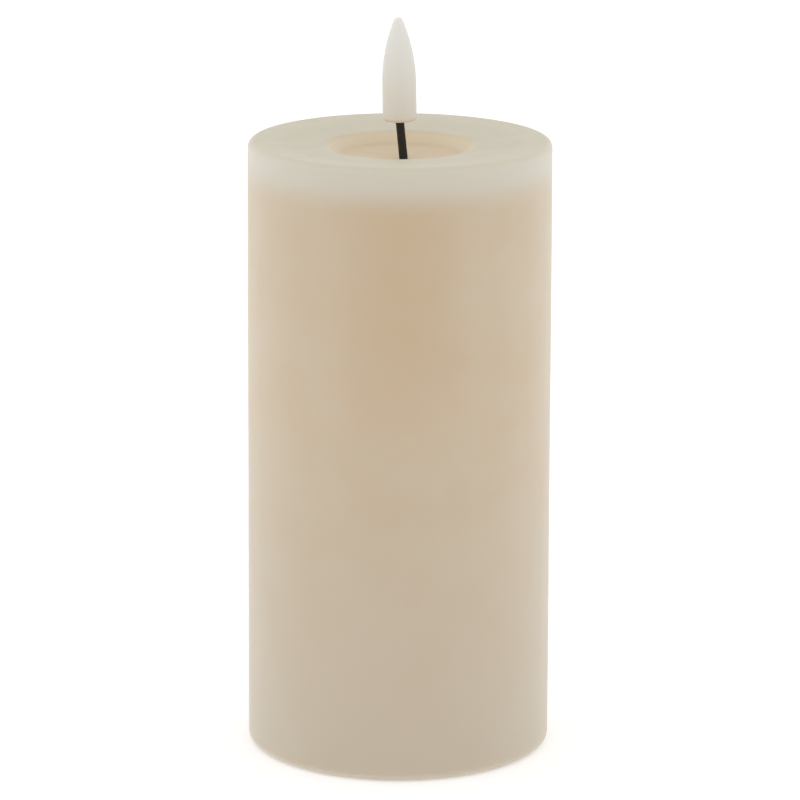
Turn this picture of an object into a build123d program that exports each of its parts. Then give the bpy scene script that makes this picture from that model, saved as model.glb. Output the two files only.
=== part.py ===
"""Flameless LED pillar candle: wax shell, plastic core, leaning wick, flame and battery base.

Millimetres, +Z up.  The origin is the centre of the circle that the candle stands on.
+X runs along the two cells, and the slide switch is on the +Y side of the battery bay.
"""

from math import atan2, cos, degrees, pi, radians, sin, sqrt, tan
import os

from build123d import *

# ---------------------------------------------------------------- wax shell
BODY_HEIGHT = 150.1         # before the top edge is rounded, which takes off 0.1
BODY_TOP_RADIUS = 36.7
BODY_BOTTOM_RADIUS = 37.1
TOP_EDGE_ROUND = 1.5
BOTTOM_EDGE_ROUND = 2.0
WAX_BOTTOM = 0.4            # the wax clears the table, the foot ring carries the candle
DISH_LIP_RADIUS = 18.2
DISH_LIP_HEIGHT = 148.75
DISH_FLOOR_RADIUS = 15.0
DISH_FLOOR_EDGE = 145.9
DISH_FLOOR_CENTRE = 145.0
DISH_LIP_ROUND = 1.6
DISH_FLOOR_ROUND = 1.8
PLATE_GAP = 0.2             # between the wax and the base plate
HOLDER_GAP = 0.2            # between the wax and the wick holder's nose
WICK_HOLE_GAP = 0.2

# ---------------------------------------------------------------- wick and flame
WICK_RADIUS = 1.05
WICK_BORE_RADIUS = 0.7
WICK_FOOT = Vector(0.85, 0.0, 145.2)      # where the wick's axis leaves the dish
WICK_HEAD = Vector(-0.10, 0.0, 154.6)     # where it enters the flame
WICK_TUBE_BOTTOM = 133.5
WICK_TUBE_TOP = 156.6
WICK_SOCKET_GAP = 0.04
FLAME_LENGTH = 25.0
FLAME_RADIUS = 4.08
FLAME_WALL = 1.2
FLAME_STRAIGHT = 9.0
FLAME_OGIVE_RADIUS = 40.7
FLAME_BOTTOM_ROUND = 1.1
FLAME_TIP = Vector(-0.55, 0.0, 179.5)
PLUG_HEIGHT = 5.0
PLUG_GAP = 0.05
PLUG_BORE_RADIUS = 1.1
PLUG_SOCKET_DEPTH = 1.5
FLAME_BOARD = (3.0, 0.8, 14.0)
FLAME_BOARD_FOOT = 3.6
FLAME_BOARD_GAP = 0.05
FLAME_BOARD_CHAMFER = 0.5
FLAME_LED = (1.6, 0.6, 0.8)
FLAME_LED_PLACES = ((15.0, -1), (10.6, -1), (12.8, 1))   # height above the flame's foot, side
LED_WIRE = 0.6
LED_WIRE_OFFSET = 0.75      # of a wire's axis from the flame board's middle
LED_WIRE_SPREAD = 0.33      # of a wire's axis from the wick's axis
LED_LEAD_PAD = (-5.0, 4.0)
LED_LEAD_RISE = 14.0
LED_LEAD_MIDDLE = (-3.4, 2.2, 62.0)
LED_LEAD_HIGH = (0.6, 1.5, 96.0)
LED_LEAD_MOUTH = 122.0

# ---------------------------------------------------------------- liner
LINER_BOTTOM = 2.7
LINER_TOP = 138.0
LINER_BOTTOM_RADIUS = 33.4
LINER_TOP_RADIUS = 32.5
LINER_WALL = 1.2
LINER_ROOF = 1.5
LINER_SHOULDER_ROUND = 3.5
LINER_GAP = 0.1             # between the liner and the wax
BASE_SCREW_CIRCLE = 28.6
BASE_SCREW_ANGLES = (60.0, 120.0, 270.0)
LINER_BOSS_RADIUS = 2.6
LINER_BOSS_BOTTOM = 4.0
LINER_BOSS_TOP = 14.0
LINER_BOSS_ROOF = 1.5
LINER_WEB = 1.6
LINER_WEB_BOTTOM = 8.5
BASE_SCREW = (2.1, 1.4, 1.1, 8.6)       # head radius, head height, shank radius, shank length
BASE_SCREW_PILOT = 1.15

# ---------------------------------------------------------------- wick holder
HOLDER_X = 1.5
HOLDER_DISC_RADIUS = 11.0
HOLDER_DISC_BOTTOM = 134.3
HOLDER_NOSE_RADIUS = 3.2
HOLDER_NOSE_TOP = 141.0
HOLDER_SCREW_SPREAD = 7.5
HOLDER_PAD_RADIUS = 2.4
HOLDER_PAD_TOP = 140.0
HOLDER_PAD_ROOF = 0.3
HOLDER_PAD_ROOT = 0.5
HOLDER_DISC_ROUND = 0.6
HOLDER_NOSE_GAP = 0.15      # between the nose and the liner's roof
HOLDER_SCREW = (1.9, 1.2, 0.9, 5.0)
HOLDER_SCREW_HOLE = 1.2
HOLDER_SCREW_PILOT = 1.0

# ---------------------------------------------------------------- base plate
PLATE_RADIUS = 34.4
PLATE_BOTTOM = 0.9
PLATE_TOP = 2.7
PLATE_ROUND = 0.5
FOOT_RING_INNER = 32.0
FOOT_RING_OUTER = 33.6
FOOT_RING_CHAMFER = 0.25
SKIRT_OUTER = 31.9
SKIRT_INNER = 30.8
SKIRT_TOP = 8.0
COAMING_TOP = 4.0
COAMING_WALL = 1.2
TRAY_CLEARANCE = 1.7        # of the skirt round the bay's outline
BOSS_CLEARANCE = 0.4
BAY_LENGTH = 55.2
BAY_WIDTH = 30.2
BAY_CORNER = 4.0
SEAT_LENGTH = 57.8
SEAT_WIDTH = 32.8
SEAT_CORNER = 5.6
SEAT_LEDGE = 2.7            # height of the ledge above the closed door
SCREW_PAD_RADIUS = 3.2
SCREW_RECESS_RADIUS = 2.4
SCREW_RECESS_TOP = 2.6
SCREW_HOLE_RADIUS = 1.3
POST_RADIUS = 2.6
POST_TOP = 7.0
TRAY_SCREW = (2.0, 1.2, 0.95, 5.6)
TRAY_SCREW_X = 20.0
TRAY_SCREW_Y = 19.0
TRAY_SCREW_HOLE = 1.25
TRAY_SCREW_PILOT = 1.05
TRAY_PILOT_BOTTOM = 2.2

# ---------------------------------------------------------------- battery door
DOOR_LENGTH = 57.2
DOOR_WIDTH = 32.2
DOOR_CORNER = 5.3
DOOR_TOP = 2.5
HINGE_X = -27.4
HINGE_Z = 2.1
KNUCKLE_RADIUS = 1.2
KNUCKLE_HALF = 12.0
HINGE_GAP = 0.2
STUB_RADIUS = 0.6
STUB_HOLE_RADIUS = 0.65
STUB_LENGTH = 1.6
CHEEK_WIDTH = 1.8
CHEEK_END = 1.4             # the cheek's end past the hinge axis
DOOR_NOTCH_END = 2.6        # where the door's full width starts, past the hinge axis
TONGUE_HALF = 4.6
TONGUE_SLOT = 0.8
TONGUE_ROOT = 20.6
LATCH_BEAD = 0.2
LATCH_BEAD_END = 0.5        # from the bead's end to the tongue's side
LATCH_GROOVE_DEPTH = 0.4
LATCH_GROOVE = (1.3, 2.1)
DOOR_RIB = (-20.0, 18.0)
DOOR_RIB_HALF = 0.6
DOOR_RIB_HEIGHT = 2.2
GRIP_RIBS = (23.6, 25.0, 26.4)
GRIP_HALF = (0.3, 3.6)
GRIP_HEIGHT = 0.25

# ---------------------------------------------------------------- battery tray and cells
TRAY_WALL = 1.2
TRAY_INSIDE_TOP = 18.0
TRAY_TOP = 19.2
TRAY_ROUND = 0.8
TRAY_EAR = 1.6
EAR_ROOT = 0.5              # of an ear inside the tray's wall
CELL_RADIUS = 7.25
CELL_BODY = 49.5
CELL_NUB_RADIUS = 2.75
CELL_NUB = 1.0
CELL_ROUND = 0.6
CELL_NUB_ROUND = 0.3
CELL_Y = 7.5
CELL_Z = 10.25
CONTACT_SHEET = 0.4
CONTACT_HALF_WIDTH = 3.5
CONTACT_HALF_HEIGHT = 5.0
CONTACT_CHAMFER = 1.0
CONTACT_RIB = 1.2
CONTACT_RIB_BOTTOM = 6.0
CONTACT_GAP = 0.2
DIMPLE_HEIGHT = 0.6
DIMPLE_RADII = (2.6, 1.7)
TAIL_WIDTH = 3.0
TAIL_TOP = 21.5
TAIL_SLOT = 0.7
SPRING_WIRE = 0.7
SPRING_RADII = (3.1, 2.0)
SPRING_TURNS = 2.5
SPRING_GAP = 0.05
BATTERY_WIRE = 1.1
BATTERY_LEAD_RISE = 3.6
BATTERY_LEAD_BEND = (3.4, 1.4, 6.6)     # in from the tail, towards the middle, above the tail
BATTERY_LEAD_PAD = (18.0, 2.6)
BATTERY_LEAD_DROP = 5.2

# ---------------------------------------------------------------- control board
BOARD = (40.0, 24.0, 1.6)
BOARD_BOTTOM = 20.8
BOARD_TOP = BOARD_BOTTOM + BOARD[2]
BOARD_CORNER = 1.5
BOARD_SCREWS = ((-16.5, 9.0), (16.5, -9.0))
BOARD_SCREW = (1.8, 1.1, 0.85, 3.6)
BOARD_SCREW_HOLE = 1.1
BOARD_SCREW_PILOT = 0.95
BOARD_PILOT_ROOF = 0.4
BOARD_BOSS_RADIUS = 2.3
CHIP_XS = (2.0, 7.0)
CHIP_HALF = 2.0
CHIP_ZS = (0.2, 1.7)        # above the board
CHIP_CHAMFER = 0.25
CHIP_PITCH = 1.27
CHIP_FIRST_LEG = 2.6
CHIP_LEG_HALF = 0.2
CHIP_LEG_SHEET = 0.2
CHIP_LEG_TOP = 1.0
CHIP_LEG_YS = (1.8, 2.4, 2.6, 3.2)      # inside the body, bend's two faces, toe
CAPACITOR_PLACE = (12.5, 6.0)
CAPACITOR_RADIUS = 2.5
CAPACITOR_HEIGHT = 7.0
CAPACITOR_ROUND = 0.4
CAPACITOR_NECK = 2.3
CAPACITOR_GROOVE = (1.2, 1.6)
RESISTOR = (1.2, 2.0, 0.5)
RESISTOR_FIRST = (-12.0, -8.0)
RESISTOR_PITCH = 2.4
RESISTOR_COUNT = 4
CRYSTAL_PLACE = (11.5, -5.0)
CRYSTAL_RADIUS = 1.0
CRYSTAL_LENGTH = 6.0
CRYSTAL_ROUND = 0.3

# ---------------------------------------------------------------- slide switch
SWITCH_Y = 24.2
SWITCH_TRAVEL = 4.0
SWITCH_REST_X = -SWITCH_TRAVEL / 2
SWITCH_CAN = (12.4, 5.8)
SWITCH_CAN_BOTTOM = 4.4
SWITCH_CAN_TOP = 9.0
SWITCH_SHEET = 0.4
SWITCH_EAR = 9.8
SWITCH_EAR_WIDTH = 4.0
SWITCH_CORNER = 0.6
SWITCH_EAR_CORNER = 1.0
SWITCH_EAR_HOLE = 1.0
SWITCH_SCREW = (1.6, 0.9, 0.8, 2.9)
SWITCH_SCREW_X = 8.0
SWITCH_POST_RADIUS = 2.0
SWITCH_SCREW_PILOT = 0.9
SWITCH_PILOT_BOTTOM = 1.6
SWITCH_RECESS = (12.0, 5.4, 1.2, 0.6)   # length, width, corner, depth
SWITCH_MARK_HALF = 0.2
SWITCH_MARK_YS = (-4.4, -3.2)
SWITCH_MARK_DEPTH = 0.3
KNOB = (2.8, 2.3)
KNOB_TIP = 0.6
KNOB_CHAMFER = 0.2
KNOB_GROOVE = (0.3, 0.3)    # width, depth
KNOB_GROOVE_PITCH = 0.75
KNOB_SLOT = (7.6, 3.0)
KNOB_SLOT_CORNER = 0.4
CAN_SLOT = (7.8, 2.8)
CAN_SLOT_CORNER = 0.3
SLIDER_BLOCK = (5.2, 4.4)
SLIDER_BOTTOM = 4.95
SLIDER_TOP = 7.1
WIPER_TOP = 7.6
WIPER_STRIP = (4.4, 1.8, 0.25)
WIPER_PAD = (0.8, 1.2)
WIPER_PAD_X = 1.5
WAFER_BOTTOM = 8.1
WAFER_TOP = 8.9
WAFER_GAP = 0.05
TERMINAL = (0.8, 0.4)
TERMINAL_XS = (-4.5, -1.5, 1.5, 4.5)
TERMINAL_FOOT = 7.7
TERMINAL_TIP = 11.5
SWITCH_WIRE = 0.9
SWITCH_PADS = (-7.0, -4.5, -2.0)        # X of the three leads' pads on the board
SWITCH_PAD_Y = 10.3
SWITCH_LEAD_RISES = (6.0, 13.5)         # above the terminal's tip
SWITCH_LEAD_LEAN = 2.5
SWITCH_LEAD_CREST = (15.0, 28.0)
SWITCH_LEAD_DROP = 26.5


# ---------------------------------------------------------------- helpers
def rod(radius, bottom, top, x=0.0, y=0.0):
    """Upright cylinder between two heights."""
    return Pos(x, y, (bottom + top) / 2) * Cylinder(radius, top - bottom)


def block(xs, ys, zs):
    """Box between two corners, given as a pair per axis."""
    size = [pair[1] - pair[0] for pair in (xs, ys, zs)]
    middle = [(pair[0] + pair[1]) / 2 for pair in (xs, ys, zs)]
    return Pos(*middle) * Box(*size)


def slab(length, width, corner, bottom, top):
    """Upright prism with a rounded-rectangle outline, centred on the Z axis."""
    outline = Pos(0, 0, bottom) * RectangleRounded(length, width, corner)
    return extrude(outline, top - bottom)


def ring(outer, inner, bottom, top):
    """Upright ring."""
    return rod(outer, bottom, top) - rod(inner, bottom, top)


def polar(radius, angle):
    """X and Y of a point on a circle about the Z axis."""
    return radius * cos(radians(angle)), radius * sin(radians(angle))


def screw(head_radius, head_height, shank_radius, shank_length):
    """Pan-head screw: the head hangs below Z 0 and the shank points up."""
    recess = 0.55 * head_height
    arm = 1.2 * head_radius
    slot = 0.26 * head_radius
    head = rod(head_radius, -head_height, 0)
    head = fillet(head.edges().group_by(Axis.Z)[0], 0.45 * head_height)
    bottom = (-head_height, -head_height + recess)
    head -= block((-arm / 2, arm / 2), (-slot / 2, slot / 2), bottom)
    head -= block((-slot / 2, slot / 2), (-arm / 2, arm / 2), bottom)
    shank = rod(shank_radius, 0, shank_length)
    shank = chamfer(shank.edges().group_by(Axis.Z)[-1], 0.5 * shank_radius)
    return head + shank


def wire(label, diameter, points):
    """Round wire along straight runs joined by arcs as large as the runs allow."""
    route = [Vector(*point) for point in points]
    radii = []
    for before, corner, after in zip(route, route[1:], route[2:]):
        run_in = corner - before
        run_out = after - corner
        half_turn = radians(run_in.get_angle(run_out)) / 2
        radii.append(0.45 * min(run_in.length, run_out.length) / tan(half_turn))
    path = FilletPolyline(*route, radius=radii)
    section = Plane(origin=path @ 0, z_dir=path % 0) * Circle(diameter / 2)
    solid = sweep(section, path=path)
    plain_volume = path.length * pi * diameter ** 2 / 4
    print(label, "radii", [round(r, 1) for r in radii], "length", round(path.length, 1),
          "volume ratio", round(solid.volume / plain_volume, 4))
    return solid


def group(solids):
    """Separate solids in one node."""
    return Compound(children=list(solids))


def wick_point(height):
    """Point of the wick's axis at a height."""
    share = (height - WICK_FOOT.Z) / (WICK_HEAD.Z - WICK_FOOT.Z)
    return WICK_FOOT + (WICK_HEAD - WICK_FOOT) * share


def along_wick(radius, bottom, top):
    """Cylinder on the leaning wick axis, square to it, between two heights."""
    start = wick_point(bottom)
    run = wick_point(top) - start
    return extrude(Plane(origin=start, z_dir=run) * Circle(radius), run.length)


def flame_place():
    """Location of the flame: local Z runs up its axis from the middle of its foot."""
    axis = FLAME_TIP - WICK_HEAD
    return Plane(origin=WICK_HEAD, x_dir=(1, 0, 0), z_dir=axis).location


def liner_radius(height):
    """Outer radius of the tapered liner at a height."""
    share = (height - LINER_BOTTOM) / (LINER_TOP - LINER_BOTTOM)
    return LINER_BOTTOM_RADIUS + (LINER_TOP_RADIUS - LINER_BOTTOM_RADIUS) * share


def liner_core(inset, top, shoulder):
    """Tapered round core inside the liner's outer face by inset, with a rounded shoulder."""
    outline = FilletPolyline(
        (0, LINER_BOTTOM),
        (liner_radius(LINER_BOTTOM) - inset, LINER_BOTTOM),
        (liner_radius(top) - inset, top),
        (0, top),
        radius=[0, shoulder],
    )
    face = make_face(outline + Line((0, top), (0, LINER_BOTTOM)))
    return revolve(Plane.XZ * face, axis=Axis.Z)


def screw_circle():
    """Places of the three base screws."""
    return [polar(BASE_SCREW_CIRCLE, angle) for angle in BASE_SCREW_ANGLES]


def holder_screw_places():
    """Places of the two wick holder screws."""
    return [(HOLDER_X + side * HOLDER_SCREW_SPREAD, 0.0) for side in (-1, 1)]


def tray_screw_places():
    """Places of the four tray screws."""
    return [(sx * TRAY_SCREW_X, sy * TRAY_SCREW_Y) for sx in (-1, 1) for sy in (-1, 1)]


# ---------------------------------------------------------------- wax, liner, wick
def wax_pillar():
    """Hollow pillar of wax with a dish in its top."""
    outline = FilletPolyline(
        (0, WAX_BOTTOM),
        (BODY_BOTTOM_RADIUS, WAX_BOTTOM),
        (BODY_TOP_RADIUS, BODY_HEIGHT),
        (DISH_LIP_RADIUS, DISH_LIP_HEIGHT),
        (DISH_FLOOR_RADIUS, DISH_FLOOR_EDGE),
        (0, DISH_FLOOR_CENTRE),
        radius=[BOTTOM_EDGE_ROUND, TOP_EDGE_ROUND, DISH_LIP_ROUND, DISH_FLOOR_ROUND],
    )
    face = make_face(outline + Line((0, DISH_FLOOR_CENTRE), (0, WAX_BOTTOM)))
    pillar = revolve(Plane.XZ * face, axis=Axis.Z)
    pillar -= rod(PLATE_RADIUS + PLATE_GAP, WAX_BOTTOM, PLATE_TOP)
    pillar -= liner_core(-LINER_GAP, LINER_TOP + LINER_GAP, LINER_SHOULDER_ROUND)
    pillar -= rod(HOLDER_NOSE_RADIUS + HOLDER_GAP, LINER_TOP, HOLDER_NOSE_TOP + HOLDER_GAP, HOLDER_X)
    for x, y in holder_screw_places():
        pillar -= rod(HOLDER_PAD_RADIUS + LINER_GAP, LINER_TOP, HOLDER_PAD_TOP + LINER_GAP, x, y)
    pillar -= along_wick(WICK_RADIUS + WICK_HOLE_GAP, HOLDER_NOSE_TOP, BODY_HEIGHT)
    return pillar


def core_liner():
    """Plastic cup, mouth down, that the wax is cast round."""
    roof = LINER_TOP - LINER_ROOF
    liner = liner_core(0, LINER_TOP, LINER_SHOULDER_ROUND)
    inside = liner_core(LINER_WALL, roof, LINER_SHOULDER_ROUND - LINER_WALL)
    liner -= inside
    for angle in BASE_SCREW_ANGLES:
        x, y = polar(BASE_SCREW_CIRCLE, angle)
        boss = rod(LINER_BOSS_RADIUS, LINER_BOSS_BOTTOM, LINER_BOSS_TOP, x, y)
        reach = LINER_BOTTOM_RADIUS - LINER_WALL / 2
        web = block((BASE_SCREW_CIRCLE, reach), (-LINER_WEB / 2, LINER_WEB / 2),
                    (LINER_WEB_BOTTOM, LINER_BOSS_TOP))
        liner += boss + Rot(0, 0, angle) * web
        liner -= rod(BASE_SCREW_PILOT, LINER_BOSS_BOTTOM, LINER_BOSS_TOP - LINER_BOSS_ROOF, x, y)
    for x, y in holder_screw_places():
        liner += rod(HOLDER_PAD_RADIUS, LINER_TOP - HOLDER_PAD_ROOT, HOLDER_PAD_TOP, x, y)
        liner -= rod(HOLDER_SCREW_PILOT, roof, HOLDER_PAD_TOP - HOLDER_PAD_ROOF, x, y)
    return liner - rod(HOLDER_NOSE_RADIUS + HOLDER_NOSE_GAP, roof, LINER_TOP, HOLDER_X)


def wick_holder():
    """Disc under the liner's roof, with a nose and a leaning bore for the wick tube."""
    disc = rod(HOLDER_DISC_RADIUS, HOLDER_DISC_BOTTOM, LINER_TOP - LINER_ROOF, HOLDER_X)
    disc = fillet(disc.edges().group_by(Axis.Z)[0], HOLDER_DISC_ROUND)
    holder = disc + rod(HOLDER_NOSE_RADIUS, HOLDER_DISC_BOTTOM, HOLDER_NOSE_TOP, HOLDER_X)
    for x, y in holder_screw_places():
        holder -= rod(HOLDER_SCREW_HOLE, HOLDER_DISC_BOTTOM, LINER_TOP, x, y)
    past_nose = HOLDER_NOSE_TOP + 1.0
    bore = along_wick(WICK_RADIUS + WICK_SOCKET_GAP, WICK_TUBE_BOTTOM, past_nose)
    return holder - bore


def holder_screws():
    """Two screws that hold the wick holder up against the liner's roof."""
    one = screw(*HOLDER_SCREW)
    return group(Pos(x, y, HOLDER_DISC_BOTTOM) * one for x, y in holder_screw_places())


def wick_tube():
    """Thin black tube from the holder into the flame's plug."""
    outer = along_wick(WICK_RADIUS, WICK_TUBE_BOTTOM, WICK_TUBE_TOP)
    past_end = 1.0
    bore = along_wick(WICK_BORE_RADIUS, WICK_TUBE_BOTTOM - past_end, WICK_TUBE_TOP + past_end)
    return outer - bore


# ---------------------------------------------------------------- flame
def ogive(inset):
    """Half outline of the flame, inset from its outer face: straight side, ogive, round tip."""
    radius = FLAME_OGIVE_RADIUS - inset
    centre = FLAME_RADIUS - FLAME_OGIVE_RADIUS
    rise = FLAME_LENGTH - FLAME_STRAIGHT
    # radius of the tip that is tangent to the ogive and touches the flame's full length
    tip = (FLAME_OGIVE_RADIUS ** 2 - centre ** 2 - rise ** 2) / (2 * (FLAME_OGIVE_RADIUS - rise))
    tip_centre = FLAME_LENGTH - tip
    sweep_angle = atan2(tip_centre - FLAME_STRAIGHT, -centre)

    def side(angle):
        return centre + radius * cos(angle), FLAME_STRAIGHT + radius * sin(angle)

    line = Line((FLAME_RADIUS - inset, 0), side(0))
    if inset < tip:
        end = side(sweep_angle)
        line += ThreePointArc(side(0), side(sweep_angle / 2), end)
        middle = (sweep_angle + pi / 2) / 2
        crown = tip - inset
        over = (crown * cos(middle), tip_centre + crown * sin(middle))
        line += ThreePointArc(end, over, (0, tip_centre + crown))
        top = tip_centre + crown
    else:
        last = atan2(sqrt(radius ** 2 - centre ** 2), -centre)
        top = FLAME_STRAIGHT + radius * sin(last)
        line += ThreePointArc(side(0), side(last / 2), (0, top))
    return line + Line((0, top), (0, 0)) + Line((0, 0), (FLAME_RADIUS - inset, 0))


def flame_shell():
    """Hollow frosted flame, open at its foot."""
    outer = revolve(Plane.XZ * make_face(ogive(0)), axis=Axis.Z)
    outer = fillet(outer.edges().group_by(Axis.Z)[0], FLAME_BOTTOM_ROUND)
    inner = revolve(Plane.XZ * make_face(ogive(FLAME_WALL)), axis=Axis.Z)
    return flame_place() * (outer - inner)


def flame_plug():
    """Plug in the flame's foot: socket for the wick tube below, slot for the board above."""
    plug = rod(FLAME_RADIUS - FLAME_WALL - PLUG_GAP, 0, PLUG_HEIGHT)
    half_x = FLAME_BOARD[0] / 2 + FLAME_BOARD_GAP
    half_y = FLAME_BOARD[1] / 2 + FLAME_BOARD_GAP
    plug -= block((-half_x, half_x), (-half_y, half_y),
                  (FLAME_BOARD_FOOT - FLAME_BOARD_GAP, PLUG_HEIGHT))
    plug -= rod(PLUG_BORE_RADIUS, PLUG_SOCKET_DEPTH, PLUG_HEIGHT)
    below_foot = WICK_HEAD.Z - 1.0
    past_tube = WICK_TUBE_TOP + 0.1
    return flame_place() * plug - along_wick(WICK_RADIUS + WICK_SOCKET_GAP, below_foot, past_tube)


def flame_led_board():
    """Narrow circuit board that stands in the plug."""
    half_x = FLAME_BOARD[0] / 2
    half_y = FLAME_BOARD[1] / 2
    board = block((-half_x, half_x), (-half_y, half_y),
                  (FLAME_BOARD_FOOT, FLAME_BOARD_FOOT + FLAME_BOARD[2]))
    board = chamfer(board.edges().filter_by(Axis.Y).group_by(Axis.Z)[-1], FLAME_BOARD_CHAMFER)
    return flame_place() * board


def flame_leds():
    """Chip LEDs on both faces of the flame board."""
    chips = []
    width, depth, height = FLAME_LED
    for place, side in FLAME_LED_PLACES:
        inner = side * FLAME_BOARD[1] / 2
        outer = inner + side * depth
        ys = (min(inner, outer), max(inner, outer))
        chip = block((-width / 2, width / 2), ys, (place - height / 2, place + height / 2))
        chips.append(flame_place() * chip)
    return group(chips)


def led_lead(label, side):
    """Wire from the control board up the hollow core and the wick to the flame board."""
    foot_x, foot_y = LED_LEAD_PAD
    middle_x, middle_y, middle_z = LED_LEAD_MIDDLE
    high_x, high_y, high_z = LED_LEAD_HIGH
    mouth = wick_point(LED_LEAD_MOUTH)
    top = wick_point(WICK_TUBE_TOP + 0.3)
    place = flame_place()
    beside_board = side * LED_WIRE_OFFSET
    bend = (place * Pos(0, beside_board, FLAME_BOARD_FOOT - 0.2)).position
    end = (place * Pos(0, beside_board, FLAME_BOARD_FOOT + 1.4)).position
    points = [
        (foot_x, side * foot_y, BOARD_TOP),
        (foot_x, side * foot_y, BOARD_TOP + LED_LEAD_RISE),
        (middle_x, side * middle_y, middle_z),
        (high_x, side * high_y, high_z),
        (mouth.X, side * LED_WIRE_SPREAD, mouth.Z),
        (top.X, side * LED_WIRE_SPREAD, top.Z),
        tuple(bend),
        tuple(end),
    ]
    return wire(label, LED_WIRE, points)


# ---------------------------------------------------------------- base
def base_plate():
    """Round plate that closes the candle's foot and carries the tray, switch and door."""
    plate = rod(PLATE_RADIUS, PLATE_BOTTOM, PLATE_TOP)
    plate = fillet(plate.edges().group_by(Axis.Z)[0], PLATE_ROUND)
    feet = ring(FOOT_RING_OUTER, FOOT_RING_INNER, 0, PLATE_BOTTOM)
    plate += chamfer(feet.edges().group_by(Axis.Z)[0], FOOT_RING_CHAMFER)
    skirt = ring(SKIRT_OUTER, SKIRT_INNER, PLATE_TOP, SKIRT_TOP)
    skirt -= slab(BAY_LENGTH + 2 * TRAY_CLEARANCE, BAY_WIDTH + 2 * TRAY_CLEARANCE,
                  BAY_CORNER + TRAY_CLEARANCE, COAMING_TOP, SKIRT_TOP)
    for x, y in screw_circle():
        skirt -= rod(LINER_BOSS_RADIUS + BOSS_CLEARANCE, LINER_BOSS_BOTTOM, SKIRT_TOP, x, y)
    plate += skirt
    coaming = slab(SEAT_LENGTH + 2 * COAMING_WALL, SEAT_WIDTH + 2 * COAMING_WALL,
                   SEAT_CORNER + COAMING_WALL, PLATE_TOP, COAMING_TOP)
    plate += coaming & rod(SKIRT_OUTER, PLATE_TOP, COAMING_TOP)
    plate -= slab(SEAT_LENGTH, SEAT_WIDTH, SEAT_CORNER, PLATE_BOTTOM, SEAT_LEDGE)
    plate -= slab(BAY_LENGTH, BAY_WIDTH, BAY_CORNER, PLATE_BOTTOM, COAMING_TOP)
    plate = hinge_seat(plate)
    plate -= latch_groove()
    for x, y in screw_circle():
        plate += rod(SCREW_PAD_RADIUS, PLATE_TOP, LINER_BOSS_BOTTOM, x, y)
        plate -= rod(SCREW_RECESS_RADIUS, PLATE_BOTTOM, SCREW_RECESS_TOP, x, y)
        plate -= rod(SCREW_HOLE_RADIUS, SCREW_RECESS_TOP, LINER_BOSS_BOTTOM, x, y)
    for x, y in tray_screw_places():
        plate += rod(POST_RADIUS, PLATE_TOP, POST_TOP, x, y)
        plate -= rod(TRAY_SCREW_PILOT, TRAY_PILOT_BOTTOM, POST_TOP, x, y)
    return switch_seat(plate)


def hinge_seat(plate):
    """Cut room for the door's knuckle and add the two cheeks that hold its stub pins."""
    seat_end = -SEAT_LENGTH / 2
    outer = KNUCKLE_HALF + HINGE_GAP + CHEEK_WIDTH
    inner = KNUCKLE_HALF + HINGE_GAP
    for side in (-1, 1):
        ys = sorted((side * inner, side * outer))
        plate += block((seat_end, HINGE_X + CHEEK_END), ys, (PLATE_BOTTOM, COAMING_TOP))
    plate -= block((seat_end, HINGE_X + CHEEK_END), (-inner, inner), (PLATE_BOTTOM, COAMING_TOP))
    holes = Pos(HINGE_X, 0, HINGE_Z) * Rot(90, 0, 0) * Cylinder(STUB_HOLE_RADIUS, 2 * outer)
    return plate - holes


def latch_groove():
    """Shallow groove in the seat's end wall for the latch tongue's bead."""
    end = SEAT_LENGTH / 2
    inside = end - 0.2
    return block((inside, end + LATCH_GROOVE_DEPTH), (-TONGUE_HALF, TONGUE_HALF), LATCH_GROOVE)


def switch_seat(plate):
    """Recess, slot and posts for the slide switch."""
    length, width, corner, depth = SWITCH_RECESS
    recess = slab(length, width, corner, PLATE_BOTTOM, PLATE_BOTTOM + depth)
    slot = slab(KNOB_SLOT[0], KNOB_SLOT[1], KNOB_SLOT_CORNER, PLATE_BOTTOM, PLATE_TOP)
    plate -= Pos(0, SWITCH_Y, 0) * recess
    plate -= Pos(0, SWITCH_Y, 0) * slot
    for step in (-1, 0, 1):
        x = step * SWITCH_TRAVEL / 2
        plate -= block((x - SWITCH_MARK_HALF, x + SWITCH_MARK_HALF),
                       [SWITCH_Y + y for y in SWITCH_MARK_YS],
                       (PLATE_BOTTOM, PLATE_BOTTOM + SWITCH_MARK_DEPTH))
    for side in (-1, 1):
        x = side * SWITCH_SCREW_X
        plate += rod(SWITCH_POST_RADIUS, PLATE_TOP, SWITCH_CAN_BOTTOM, x, SWITCH_Y)
        plate -= rod(SWITCH_SCREW_PILOT, SWITCH_PILOT_BOTTOM, SWITCH_CAN_BOTTOM, x, SWITCH_Y)
    return plate


def base_screws():
    """Three screws up through the base plate into the liner's bosses."""
    one = screw(*BASE_SCREW)
    return group(Pos(x, y, SCREW_RECESS_TOP) * one for x, y in screw_circle())


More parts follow.
